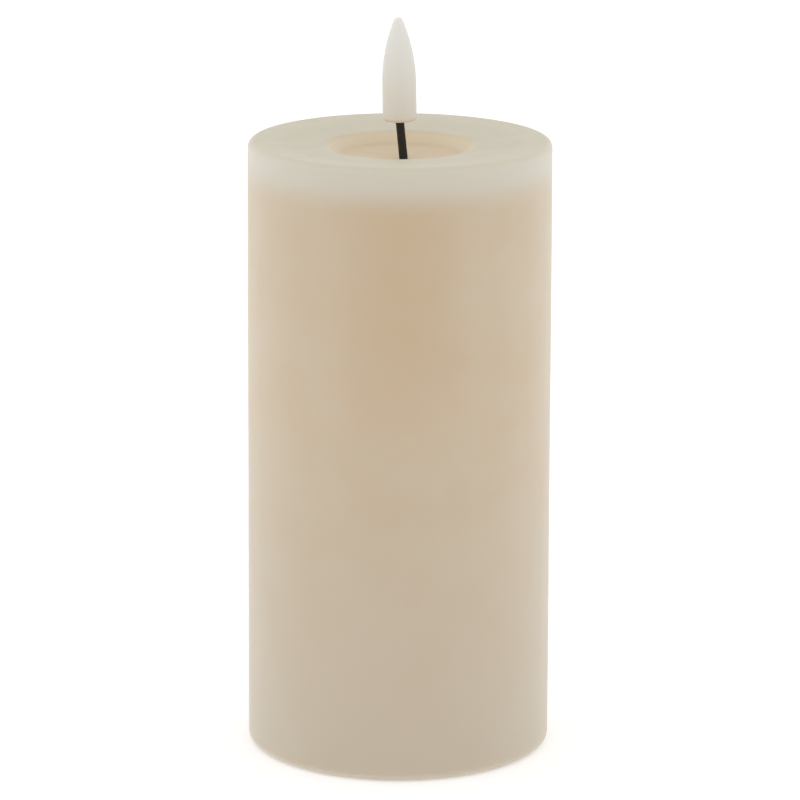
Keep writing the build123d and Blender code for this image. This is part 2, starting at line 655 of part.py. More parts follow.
def battery_door():
    """Door panel with a round knuckle and stub pins, a latch tongue and a stiffening rib."""
    middle = (PLATE_BOTTOM + DOOR_TOP) / 2
    door = slab(DOOR_LENGTH, DOOR_WIDTH, DOOR_CORNER, PLATE_BOTTOM, DOOR_TOP)
    notch_end = HINGE_X + DOOR_NOTCH_END
    for side in (-1, 1):
        ys = sorted((side * KNUCKLE_HALF, side * DOOR_WIDTH))
        door -= block((-DOOR_LENGTH, notch_end), ys, (PLATE_BOTTOM, DOOR_TOP))
        slot = sorted((side * TONGUE_HALF, side * (TONGUE_HALF + TONGUE_SLOT)))
        door -= block((TONGUE_ROOT, DOOR_LENGTH), slot, (PLATE_BOTTOM, DOOR_TOP))
    door -= block((-DOOR_LENGTH, HINGE_X), (-DOOR_WIDTH, DOOR_WIDTH), (PLATE_BOTTOM, DOOR_TOP))
    across = Pos(HINGE_X, 0, HINGE_Z) * Rot(90, 0, 0)
    door += across * Cylinder(KNUCKLE_RADIUS, 2 * KNUCKLE_HALF)
    door += across * Cylinder(STUB_RADIUS, 2 * (KNUCKLE_HALF + STUB_LENGTH))
    door += block(DOOR_RIB, (-DOOR_RIB_HALF, DOOR_RIB_HALF),
                  (DOOR_TOP, DOOR_TOP + DOOR_RIB_HEIGHT))
    bead = Cylinder(LATCH_BEAD, 2 * (TONGUE_HALF - LATCH_BEAD_END))
    door += Pos(DOOR_LENGTH / 2, 0, middle) * Rot(90, 0, 0) * bead
    half_x, half_y = GRIP_HALF
    for x in GRIP_RIBS:
        door += block((x - half_x, x + half_x), (-half_y, half_y),
                      (PLATE_BOTTOM - GRIP_HEIGHT, PLATE_BOTTOM))
    return door


# ---------------------------------------------------------------- battery bay
def battery_tray():
    """Inverted box over the cells, with four ears and two bosses for the control board."""
    outer = (BAY_LENGTH + 2 * TRAY_WALL, BAY_WIDTH + 2 * TRAY_WALL)
    tray = slab(outer[0], outer[1], BAY_CORNER + TRAY_WALL, COAMING_TOP, TRAY_TOP)
    tray = fillet(tray.faces().sort_by(Axis.Z)[-1].edges(), TRAY_ROUND)
    tray -= slab(BAY_LENGTH, BAY_WIDTH, BAY_CORNER, COAMING_TOP, TRAY_INSIDE_TOP)
    ear_top = POST_TOP + TRAY_EAR
    for x, y in tray_screw_places():
        side = 1 if y > 0 else -1
        ys = sorted((side * (BAY_WIDTH / 2 + EAR_ROOT), y))
        ear = rod(POST_RADIUS, POST_TOP, ear_top, x, y)
        ear += block((x - POST_RADIUS, x + POST_RADIUS), ys, (POST_TOP, ear_top))
        tray += ear
        tray -= rod(TRAY_SCREW_HOLE, POST_TOP, ear_top, x, y)
    for x, y in BOARD_SCREWS:
        tray += rod(BOARD_BOSS_RADIUS, TRAY_TOP, BOARD_BOTTOM, x, y)
        tray -= rod(BOARD_SCREW_PILOT, TRAY_INSIDE_TOP + BOARD_PILOT_ROOF, BOARD_BOTTOM, x, y)
    return contact_seats(tray)


def contact_seats(tray):
    """Ribs beside the contact plates, and slots in the roof for the two tails."""
    wall = BAY_LENGTH / 2
    inner = CELL_Y - CONTACT_HALF_WIDTH - CONTACT_GAP - CONTACT_RIB
    outer = CELL_Y + CONTACT_HALF_WIDTH + CONTACT_GAP
    for side in (-1, 1):
        y = side * CELL_Y
        half = TAIL_WIDTH / 2 + CONTACT_GAP
        tray -= block((wall - TAIL_SLOT, wall), (y - half, y + half), (TRAY_INSIDE_TOP, TRAY_TOP))
        for end, start in ((1, inner), (1, outer), (-1, outer)):
            xs = sorted((end * wall, end * (wall - CONTACT_RIB)))
            ys = sorted((side * start, side * (start + CONTACT_RIB)))
            tray += block(xs, ys, (CONTACT_RIB_BOTTOM, TRAY_INSIDE_TOP))
    return tray


def tray_screws():
    """Four screws down through the tray's ears into the base plate's posts."""
    one = Rot(180, 0, 0) * screw(*TRAY_SCREW)
    return group(Pos(x, y, POST_TOP + TRAY_EAR) * one for x, y in tray_screw_places())


def cell(row, pole_side):
    """AA cell along X: row is its side of the bay, pole_side is where its nub points."""
    length = CELL_BODY + CELL_NUB
    body = rod(CELL_RADIUS, 0, CELL_BODY)
    body = fillet(body.edges(), CELL_ROUND)
    nub = rod(CELL_NUB_RADIUS, CELL_BODY, length)
    nub = fillet(nub.edges().group_by(Axis.Z)[-1], CELL_NUB_ROUND)
    tip = BAY_LENGTH / 2 - CONTACT_SHEET - DIMPLE_HEIGHT
    whole = Rot(0, 90 * pole_side, 0) * (body + nub)
    return Pos(pole_side * (tip - length), row * CELL_Y, CELL_Z) * whole


def contact_sheet(end, ys):
    """Flat plate against the bay's end wall, in x of one sheet thickness."""
    wall = end * BAY_LENGTH / 2
    xs = sorted((wall, wall - end * CONTACT_SHEET))
    zs = (CELL_Z - CONTACT_HALF_HEIGHT, CELL_Z + CONTACT_HALF_HEIGHT)
    plate = block(xs, ys, zs)
    return chamfer(plate.edges().filter_by(Axis.X), CONTACT_CHAMFER)


def contact_tail(end, y):
    """Strip from a plate up through the tray's roof."""
    wall = end * BAY_LENGTH / 2
    xs = sorted((wall, wall - end * CONTACT_SHEET))
    return block(xs, (y - TAIL_WIDTH / 2, y + TAIL_WIDTH / 2), (CELL_Z, TAIL_TOP))


def dimple(end, y):
    """Raised boss that touches a cell's nub."""
    wide, narrow = DIMPLE_RADII
    middle = end * (BAY_LENGTH / 2 - CONTACT_SHEET - DIMPLE_HEIGHT / 2)
    return Pos(middle, y, CELL_Z) * Rot(0, -90 * end, 0) * Cone(wide, narrow, DIMPLE_HEIGHT)


def positive_contact():
    """Plate, dimple and tail at the front cell's nub."""
    ys = (CELL_Y - CONTACT_HALF_WIDTH, CELL_Y + CONTACT_HALF_WIDTH)
    return contact_sheet(1, ys) + contact_tail(1, CELL_Y) + dimple(1, CELL_Y)


def negative_plate():
    """Plate and tail that carry the rear cell's spring."""
    ys = (-CELL_Y - CONTACT_HALF_WIDTH, -CELL_Y + CONTACT_HALF_WIDTH)
    return contact_sheet(1, ys) + contact_tail(1, -CELL_Y)


def bridge_plate():
    """Plate that joins the two cells at the other end, with one dimple."""
    half = CELL_Y + CONTACT_HALF_WIDTH
    return contact_sheet(-1, (-half, half)) + dimple(-1, -CELL_Y)


def contact_spring(end, y):
    """Conical spring, pressed short between a plate and a cell's flat end."""
    wide, narrow = SPRING_RADII
    tip = BAY_LENGTH / 2 - CONTACT_SHEET - DIMPLE_HEIGHT
    flat_end = tip - CELL_BODY - CELL_NUB
    room = BAY_LENGTH / 2 - CONTACT_SHEET + flat_end
    height = room - SPRING_WIRE - 2 * SPRING_GAP
    cone = degrees(atan2(wide - narrow, height))
    coil = Helix(height / SPRING_TURNS, height, wide, cone_angle=-cone)
    section = Plane(origin=coil @ 0, z_dir=coil % 0) * Circle(SPRING_WIRE / 2)
    spring = sweep(section, path=coil, is_frenet=True)
    start = end * (BAY_LENGTH / 2 - CONTACT_SHEET - SPRING_GAP - SPRING_WIRE / 2)
    return Pos(start, y, CELL_Z) * Rot(0, -90 * end, 0) * spring


# ---------------------------------------------------------------- control board
def control_board():
    """Main circuit board on top of the battery tray."""
    half_x = BOARD[0] / 2
    half_y = BOARD[1] / 2
    board = block((-half_x, half_x), (-half_y, half_y), (BOARD_BOTTOM, BOARD_TOP))
    board = fillet(board.edges().filter_by(Axis.Z), BOARD_CORNER)
    for x, y in BOARD_SCREWS:
        board -= rod(BOARD_SCREW_HOLE, BOARD_BOTTOM, BOARD_TOP, x, y)
    return board


def board_screws():
    """Two screws that hold the control board on the tray."""
    one = Rot(180, 0, 0) * screw(*BOARD_SCREW)
    return group(Pos(x, y, BOARD_TOP) * one for x, y in BOARD_SCREWS)


def controller_chip():
    """Eight-legged controller chip."""
    body = block(CHIP_XS, (-CHIP_HALF, CHIP_HALF), [BOARD_TOP + z for z in CHIP_ZS])
    body = chamfer(body.faces().sort_by(Axis.Z)[-1].edges(), CHIP_CHAMFER)
    root, bend_in, bend_out, toe = CHIP_LEG_YS
    knee = BOARD_TOP + CHIP_LEG_TOP
    for step in range(4):
        x = CHIP_FIRST_LEG + CHIP_PITCH * step
        xs = (x - CHIP_LEG_HALF, x + CHIP_LEG_HALF)
        for side in (-1, 1):
            shoulder = sorted((side * root, side * bend_out))
            shin = sorted((side * bend_in, side * bend_out))
            foot = sorted((side * bend_in, side * toe))
            body += block(xs, shoulder, (knee - CHIP_LEG_SHEET, knee))
            body += block(xs, shin, (BOARD_TOP, knee))
            body += block(xs, foot, (BOARD_TOP, BOARD_TOP + CHIP_LEG_SHEET))
    return body


def smoothing_capacitor():
    """Standing electrolytic capacitor."""
    can = rod(CAPACITOR_RADIUS, 0, CAPACITOR_HEIGHT)
    can = fillet(can.edges().group_by(Axis.Z)[-1], CAPACITOR_ROUND)
    can -= ring(2 * CAPACITOR_RADIUS, CAPACITOR_NECK, *CAPACITOR_GROOVE)
    return Pos(*CAPACITOR_PLACE, BOARD_TOP) * can


def board_resistors():
    """Chip resistors in a row."""
    length, width, height = RESISTOR
    first_x, y = RESISTOR_FIRST
    chips = []
    for step in range(RESISTOR_COUNT):
        x = first_x + RESISTOR_PITCH * step
        chips.append(block((x - length / 2, x + length / 2), (y - width / 2, y + width / 2),
                           (BOARD_TOP, BOARD_TOP + height)))
    return group(chips)


def timing_crystal():
    """Small crystal can that lies on the board and times the six hours."""
    can = Rot(0, 90, 0) * Cylinder(CRYSTAL_RADIUS, CRYSTAL_LENGTH)
    can = fillet(can.edges().group_by(Axis.X)[-1], CRYSTAL_ROUND)
    return Pos(*CRYSTAL_PLACE, BOARD_TOP + CRYSTAL_RADIUS) * can


# ---------------------------------------------------------------- slide switch
def switch_can():
    """Folded steel can of the slide switch, with two screw ears."""
    half_x = SWITCH_CAN[0] / 2
    half_y = SWITCH_CAN[1] / 2
    can = slab(SWITCH_CAN[0], SWITCH_CAN[1], SWITCH_CORNER, SWITCH_CAN_BOTTOM, SWITCH_CAN_TOP)
    floor = SWITCH_CAN_BOTTOM + SWITCH_SHEET
    can -= block((-half_x + SWITCH_SHEET, half_x - SWITCH_SHEET),
                 (-half_y + SWITCH_SHEET, half_y - SWITCH_SHEET), (floor, SWITCH_CAN_TOP))
    can += slab(2 * SWITCH_EAR, SWITCH_EAR_WIDTH, SWITCH_EAR_CORNER, SWITCH_CAN_BOTTOM, floor)
    can -= slab(CAN_SLOT[0], CAN_SLOT[1], CAN_SLOT_CORNER, SWITCH_CAN_BOTTOM, floor)
    for side in (-1, 1):
        can -= rod(SWITCH_EAR_HOLE, SWITCH_CAN_BOTTOM, floor, side * SWITCH_SCREW_X)
    return Pos(0, SWITCH_Y, 0) * can


def terminal_block(grow, bottom, top):
    """Four flat pins in a row, each grown sideways by the same amount."""
    half_x = TERMINAL[0] / 2 + grow
    half_y = TERMINAL[1] / 2 + grow
    pins = []
    for x in TERMINAL_XS:
        pins.append(block((x - half_x, x + half_x),
                          (SWITCH_Y - half_y, SWITCH_Y + half_y), (bottom, top)))
    return pins


def switch_wafer():
    """Hard paper wafer that closes the can and holds the terminals."""
    half_x = SWITCH_CAN[0] / 2 - SWITCH_SHEET - WAFER_GAP
    half_y = SWITCH_CAN[1] / 2 - SWITCH_SHEET - WAFER_GAP
    wafer = block((-half_x, half_x), (SWITCH_Y - half_y, SWITCH_Y + half_y),
                  (WAFER_BOTTOM, WAFER_TOP))
    for hole in terminal_block(WAFER_GAP, WAFER_BOTTOM, WAFER_TOP):
        wafer -= hole
    return wafer


def switch_terminals():
    """Four terminals through the wafer."""
    return group(terminal_block(0, TERMINAL_FOOT, TERMINAL_TIP))


def switch_slider():
    """Sliding block with the knob that the user pushes, in its OFF place."""
    block_x = SLIDER_BLOCK[0] / 2
    block_y = SLIDER_BLOCK[1] / 2
    knob_x = KNOB[0] / 2
    knob_y = KNOB[1] / 2
    slider = block((-block_x, block_x), (-block_y, block_y), (SLIDER_BOTTOM, SLIDER_TOP))
    slider += block((-knob_x, knob_x), (-knob_y, knob_y), (KNOB_TIP, SLIDER_BOTTOM))
    slider = chamfer(slider.faces().sort_by(Axis.Z)[0].edges(), KNOB_CHAMFER)
    width, depth = KNOB_GROOVE
    for step in (-1, 0, 1):
        x = KNOB_GROOVE_PITCH * step
        slider -= block((x - width / 2, x + width / 2), (-knob_y, knob_y),
                        (KNOB_TIP, KNOB_TIP + depth))
    return Pos(SWITCH_REST_X, SWITCH_Y, 0) * slider


def switch_wiper():
    """Sprung bronze strip on the slider that joins two terminals."""
    length, width, sheet = WIPER_STRIP
    pad_x, pad_y = WIPER_PAD
    strip_top = SLIDER_TOP + sheet
    strip = block((-length / 2, length / 2), (-width / 2, width / 2), (SLIDER_TOP, strip_top))
    pad = block((-pad_x / 2, pad_x / 2), (-pad_y / 2, pad_y / 2), (strip_top, WIPER_TOP))
    for side in (-1, 1):
        strip += Pos(side * WIPER_PAD_X, 0, 0) * pad
    return Pos(SWITCH_REST_X, SWITCH_Y, 0) * strip


def switch_screws():
    """Two screws down through the can's ears into the base plate's posts."""
    one = Rot(180, 0, 0) * screw(*SWITCH_SCREW)
    places = (-SWITCH_SCREW_X, SWITCH_SCREW_X)
    return group(Pos(x, SWITCH_Y, SWITCH_CAN_BOTTOM + SWITCH_SHEET) * one for x in places)


def switch_leads():
    """Three wires from the switch's terminals to the control board's edge."""
    straight, lean = [TERMINAL_TIP + rise for rise in SWITCH_LEAD_RISES]
    wires = []
    for x, pad in zip(TERMINAL_XS, SWITCH_PADS):
        points = [
            (x, SWITCH_Y, TERMINAL_TIP),
            (x, SWITCH_Y, straight),
            ((x + pad) / 2, SWITCH_Y - SWITCH_LEAD_LEAN, lean),
            (pad, *SWITCH_LEAD_CREST),
            (pad, SWITCH_PAD_Y, SWITCH_LEAD_DROP),
            (pad, SWITCH_PAD_Y, BOARD_TOP),
        ]
        wires.append(wire("switch lead", SWITCH_WIRE, points))
    return group(wires)


def battery_lead(label, side):
    """Wire from a contact tail over the tray's end to the control board."""
    wall = BAY_LENGTH / 2 - CONTACT_SHEET / 2
    back, inward, crest = BATTERY_LEAD_BEND
    pad_x, pad_y = BATTERY_LEAD_PAD
    points = [
        (wall, side * CELL_Y, TAIL_TOP),
        (wall, side * CELL_Y, TAIL_TOP + BATTERY_LEAD_RISE),
        (wall - back, side * (CELL_Y - inward), TAIL_TOP + crest),
        (pad_x, side * pad_y, TAIL_TOP + BATTERY_LEAD_DROP),
        (pad_x, side * pad_y, BOARD_TOP),
    ]
    return wire(label, BATTERY_WIRE, points)


# ---------------------------------------------------------------- build
NODES = {
    "wax_pillar": wax_pillar,
    "core_liner": core_liner,
    "wick_holder": wick_holder,
    "holder_screws": holder_screws,
    "wick_tube": wick_tube,
    "flame_shell": flame_shell,
    "flame_plug": flame_plug,
    "flame_led_board": flame_led_board,
    "flame_leds": flame_leds,
    "led_lead_red": lambda: led_lead("led_lead_red", -1),
    "led_lead_black": lambda: led_lead("led_lead_black", 1),
    "base_plate": base_plate,
    "base_screws": base_screws,
    "battery_door": battery_door,
    "battery_tray": battery_tray,
    "tray_screws": tray_screws,
    "cell_front": lambda: cell(1, 1),
    "cell_rear": lambda: cell(-1, -1),
    "positive_contact": positive_contact,
    "negative_plate": negative_plate,
    "negative_spring": lambda: contact_spring(1, -CELL_Y),
    "bridge_plate": bridge_plate,
    "bridge_spring": lambda: contact_spring(-1, CELL_Y),
    "control_board": control_board,
    "board_screws": board_screws,
    "controller_chip": controller_chip,
    "smoothing_capacitor": smoothing_capacitor,
    "board_resistors": board_resistors,
    "timing_crystal": timing_crystal,
    "switch_can": switch_can,
    "switch_wafer": switch_wafer,
    "switch_terminals": switch_terminals,
    "switch_slider": switch_slider,
    "switch_wiper": switch_wiper,
    "switch_screws": switch_screws,
    "switch_leads": switch_leads,
    "battery_lead_red": lambda: battery_lead("battery_lead_red", 1),
    "battery_lead_black": lambda: battery_lead("battery_lead_black", -1),
}

os.makedirs("parts", exist_ok=True)
for node, make in NODES.items():
    export_step(make(), "parts/" + node + ".step")
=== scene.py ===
"""Looks for a flameless LED pillar candle: wax, wick, flame, base and electronics.

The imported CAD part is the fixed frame.  The pieces that the eye meets first, the wax, the wick
and the flame, are made here as finer meshes that stand for their CAD nodes.  Every other node
keeps its CAD shape and gets a finish worked out from its real material.
"""

import logging
import math
from dataclasses import dataclass, field
from enum import Enum
from typing import Any, Callable, Iterable, Sequence

import bmesh
import bpy
from mathutils import Matrix, Quaternion, Vector, noise


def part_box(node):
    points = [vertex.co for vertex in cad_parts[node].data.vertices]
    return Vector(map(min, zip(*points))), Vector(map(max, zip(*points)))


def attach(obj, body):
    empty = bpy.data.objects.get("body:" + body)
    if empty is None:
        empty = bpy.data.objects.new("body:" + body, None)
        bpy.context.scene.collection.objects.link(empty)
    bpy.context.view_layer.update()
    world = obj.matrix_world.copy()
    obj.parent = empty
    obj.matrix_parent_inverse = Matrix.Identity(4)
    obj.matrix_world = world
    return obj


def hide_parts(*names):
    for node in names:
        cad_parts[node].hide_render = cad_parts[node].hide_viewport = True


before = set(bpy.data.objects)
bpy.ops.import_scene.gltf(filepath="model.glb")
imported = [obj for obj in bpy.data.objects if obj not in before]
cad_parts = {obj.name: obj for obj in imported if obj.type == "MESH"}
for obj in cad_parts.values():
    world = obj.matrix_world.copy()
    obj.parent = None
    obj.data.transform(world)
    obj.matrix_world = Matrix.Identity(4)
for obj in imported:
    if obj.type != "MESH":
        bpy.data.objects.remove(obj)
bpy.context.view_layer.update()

LOG = logging.getLogger("candle")
MM = 0.001
MIX_A = 6          # colour inputs and output of a Mix node, whose names are not unique
MIX_B = 7
MIX_RESULT = 2
Point = tuple[float, float]
Tree = bpy.types.NodeTree
Node = bpy.types.Node
Socket = bpy.types.NodeSocket
Colour = tuple[float, float, float, float]


# ------------------------------------------------------------------ shared helpers
def linear(hex_colour: str) -> Colour:
    """Turn an sRGB hex colour into linear light.

    Args:
        hex_colour: six hex digits, such as "D2CCBA".

    Returns:
        Linear red, green and blue, and an alpha of 1.
    """
    parts = [int(hex_colour[start:start + 2], 16) / 255 for start in (0, 2, 4)]
    curve = [v / 12.92 if v <= 0.04045 else ((v + 0.055) / 1.055) ** 2.4 for v in parts]
    return curve[0], curve[1], curve[2], 1.0


def per_metre(millimetres: float) -> float:
    """Scale of a texture whose features are this many millimetres apart.

    Args:
        millimetres: real distance between features.

    Returns:
        The number of features in a metre.
    """
    return 1.0 / (millimetres * MM)


def add_node(
    tree: Tree,
    kind: str,
    inputs: dict[str | int, Any] | None = None,
    stops: Sequence[tuple[float, Colour]] = (),
    **settings: Any,
) -> Node:
    """Add a node, set its properties and set or link its inputs.

    Args:
        tree: the material's or world's node tree.
        kind: the node's type name.
        inputs: value or source socket for each input, by name or index.
        stops: place and colour of each stop of a colour ramp.
        settings: properties of the node itself.

    Returns:
        The new node.
    """
    node = tree.nodes.new(kind)
    for name, value in settings.items():
        setattr(node, name, value)
    for key, value in (inputs or {}).items():
        if isinstance(value, Socket):
            tree.links.new(value, node.inputs[key])
        else:
            node.inputs[key].default_value = value
    for index, (place, colour) in enumerate(stops):
        elements = node.color_ramp.elements
        element = elements[index] if index < len(elements) else elements.new(place)
        element.position = place
        element.color = colour
    return node


def spread(
    tree: Tree, value: Socket, source: Point, target: Point = (0.0, 1.0), smooth: bool = False
) -> Socket:
    """Carry a value over from one range to another, held at its ends.

    Args:
        tree: the material's node tree.
        value: socket that gives the value.
        source: range that it comes from.
        target: range that it goes to.
        smooth: whether it eases in and out.

    Returns:
        Socket that gives the new value.
    """
    return add_node(tree, "ShaderNodeMapRange", {
        "Value": value, "From Min": source[0], "From Max": source[1],
        "To Min": target[0], "To Max": target[1],
    }, interpolation_type="SMOOTHSTEP" if smooth else "LINEAR").outputs[0]


def blended(tree: Tree, share: Socket, base: Any, over: Any) -> Socket:
    """Blend two colours.

    Args:
        tree: the material's node tree.
        share: socket that gives how much of the second shows.
        base: first colour, or the socket that gives it.
        over: second colour, or its socket.

    Returns:
        Socket that gives the blend.
    """
    return add_node(tree, "ShaderNodeMix", {0: share, MIX_A: base, MIX_B: over},
                    data_type="RGBA").outputs[MIX_RESULT]


def rounded(corners: Sequence[Point], radii: Sequence[float], steps: int) -> list[Point]:
    """Round the inner corners of an open outline with tangent arcs.

    Args:
        corners: radius and height of each corner, in millimetres.
        radii: rounding of each corner but the first and last.
        steps: number of pieces in each arc.

    Returns:
        The outline's points, in order.
    """
    points = [corners[0]]
    for before, here, after, radius in zip(corners, corners[1:], corners[2:], radii):
        corner = Vector(here)
        back = (Vector(before) - corner).normalized()
        ahead = (Vector(after) - corner).normalized()
        half = back.angle(ahead) / 2
        middle = corner + (back + ahead).normalized() * radius / math.sin(half)
        start = corner + back * radius / math.tan(half)
        end = corner + ahead * radius / math.tan(half)
        first = (start - middle).normalized()
        last = (end - middle).normalized()
        for step in range(steps + 1):
            place = middle + first.slerp(last, step / steps) * radius
            points.append((place.x, place.y))
    return points + [corners[-1]]


def refined(outline: Sequence[Point], longest: float) -> list[Point]:
    """Split an outline's long runs, so that a surface can undulate between them.

    Args:
        outline: points of the outline.
        longest: longest run allowed, in millimetres.

    Returns:
        The outline with more points.
    """
    points = [outline[0]]
    for start, end in zip(outline, outline[1:]):
        run = math.dist(start, end)
        parts = max(1, math.ceil(run / longest))
        for part in range(1, parts + 1):
            share = part / parts
            points.append(tuple(a + (b - a) * share for a, b in zip(start, end)))
    return points


def lathe(
    name: str,
    outline: Sequence[Point],
    sides: int,
    loop: bool,
    centre: Callable[[float, float], float] | None = None,
) -> bpy.types.Object:
    """Turn an outline about the upright axis into a closed mesh.

    Args:
        name: the new object's name.
        outline: radius and height of each point, in millimetres.
        sides: number of facets round the axis.
        loop: whether the last point joins the first, as in a ring.
        centre: sideways shift along X of a ring, from its radius and height.

    Returns:
        The object, smooth but for its sharp edges.
    """
    mesh = bmesh.new()
    rings = []
    for radius, height in outline:
        shift = centre(radius, height) if centre else 0.0
        if radius < 1e-6:
            rings.append([mesh.verts.new((shift * MM, 0.0, height * MM))])
            continue
        ring = []
        for side in range(sides):
            angle = 2 * math.pi * side / sides
            place = (shift + radius * math.cos(angle), radius * math.sin(angle), height)
            ring.append(mesh.verts.new(Vector(place) * MM))
        rings.append(ring)
    pairs = list(zip(rings, rings[1:]))
    if loop:
        pairs.append((rings[-1], rings[0]))
    for first, second in pairs:
        for side in range(sides):
            after = (side + 1) % sides
            corners = [
                first[side % len(first)],
                first[after % len(first)],
                second[after % len(second)],
                second[side % len(second)],
            ]
            mesh.faces.new(list(dict.fromkeys(corners)))
    bmesh.ops.recalc_face_normals(mesh, faces=mesh.faces)
    return finished_mesh(name, mesh)


def finished_mesh(name: str, mesh: bmesh.types.BMesh) -> bpy.types.Object:
    """Turn a bmesh into an object in the scene, smooth but for its sharp edges.

    Args:
        name: the object's name.
        mesh: the bmesh, which is freed.

    Returns:
        The new object.
    """
    data = bpy.data.meshes.new(name)
    mesh.to_mesh(data)
    mesh.free()
    data.polygons.foreach_set("use_smooth", [True] * len(data.polygons))
    data.set_sharp_from_angle(angle=math.radians(35))
    made = bpy.data.objects.new(name, data)
    bpy.context.scene.collection.objects.link(made)
    return made


def settle(
    piece: bpy.types.Object,
    finish: "Finish",
    body: str,
    stands_for: Iterable[str] = (),
) -> None:
    """Give a new piece its finish, its body and the nodes it replaces.

    Args:
        piece: the piece, in place in the frame.
        finish: what it is made of.
        body: the CAD body that it rides on.
        stands_for: CAD nodes that it replaces.
    """
    piece.data.materials.clear()
    piece.data.materials.append(finish.material())
    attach(piece, body)
    for node in stands_for:
        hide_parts(node)
    LOG.info("%s: %d faces, %s", piece.name, len(piece.data.polygons), finish.name)


def dress(nodes: Iterable[str], finish: "Finish") -> None:
    """Give CAD nodes a finish, and leave their shape alone.

    Args:
        nodes: names of the CAD nodes.
        finish: what they are made of.
    """
    for node in nodes:
        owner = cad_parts[node]
        if not owner.material_slots:
            owner.data.materials.append(finish.material())
        for slot in owner.material_slots:
            slot.material = finish.material()
        LOG.info("%s: %s", node, finish.name)


# ------------------------------------------------------------------ finishes
@dataclass(frozen=True)
class Finish:
    """What every finish has, and the plain shader that each one adds to."""

    name: str
    colour: str
    roughness: float = 0.5
    ior: float = 1.5

    def material(self) -> bpy.types.Material:
        """Make this finish's material, or find it if it was made before.

        Returns:
            The material.
        """
        found = bpy.data.materials.get(self.name)
        if found:
            return found
        made = bpy.data.materials.new(self.name)
        made.use_nodes = True
        tree = made.node_tree
        tree.nodes.clear()
        shader = add_node(tree, "ShaderNodeBsdfPrincipled", {
            "Base Color": linear(self.colour),
            "Roughness": self.roughness,
            "IOR": self.ior,
        })
        add_node(tree, "ShaderNodeOutputMaterial", {"Surface": shader.outputs["BSDF"]})
        place = add_node(tree, "ShaderNodeTexCoord").outputs["Object"]
        self.detail(tree, shader, place)
        return made

    def detail(self, tree: Tree, shader: Node, place: Socket) -> None:
        """Add what makes this finish differ from a plain one.

        Args:
            tree: the material's node tree.
            shader: its principled shader.
            place: socket that gives a point's place on the object, in metres.
        """
        raise NotImplementedError


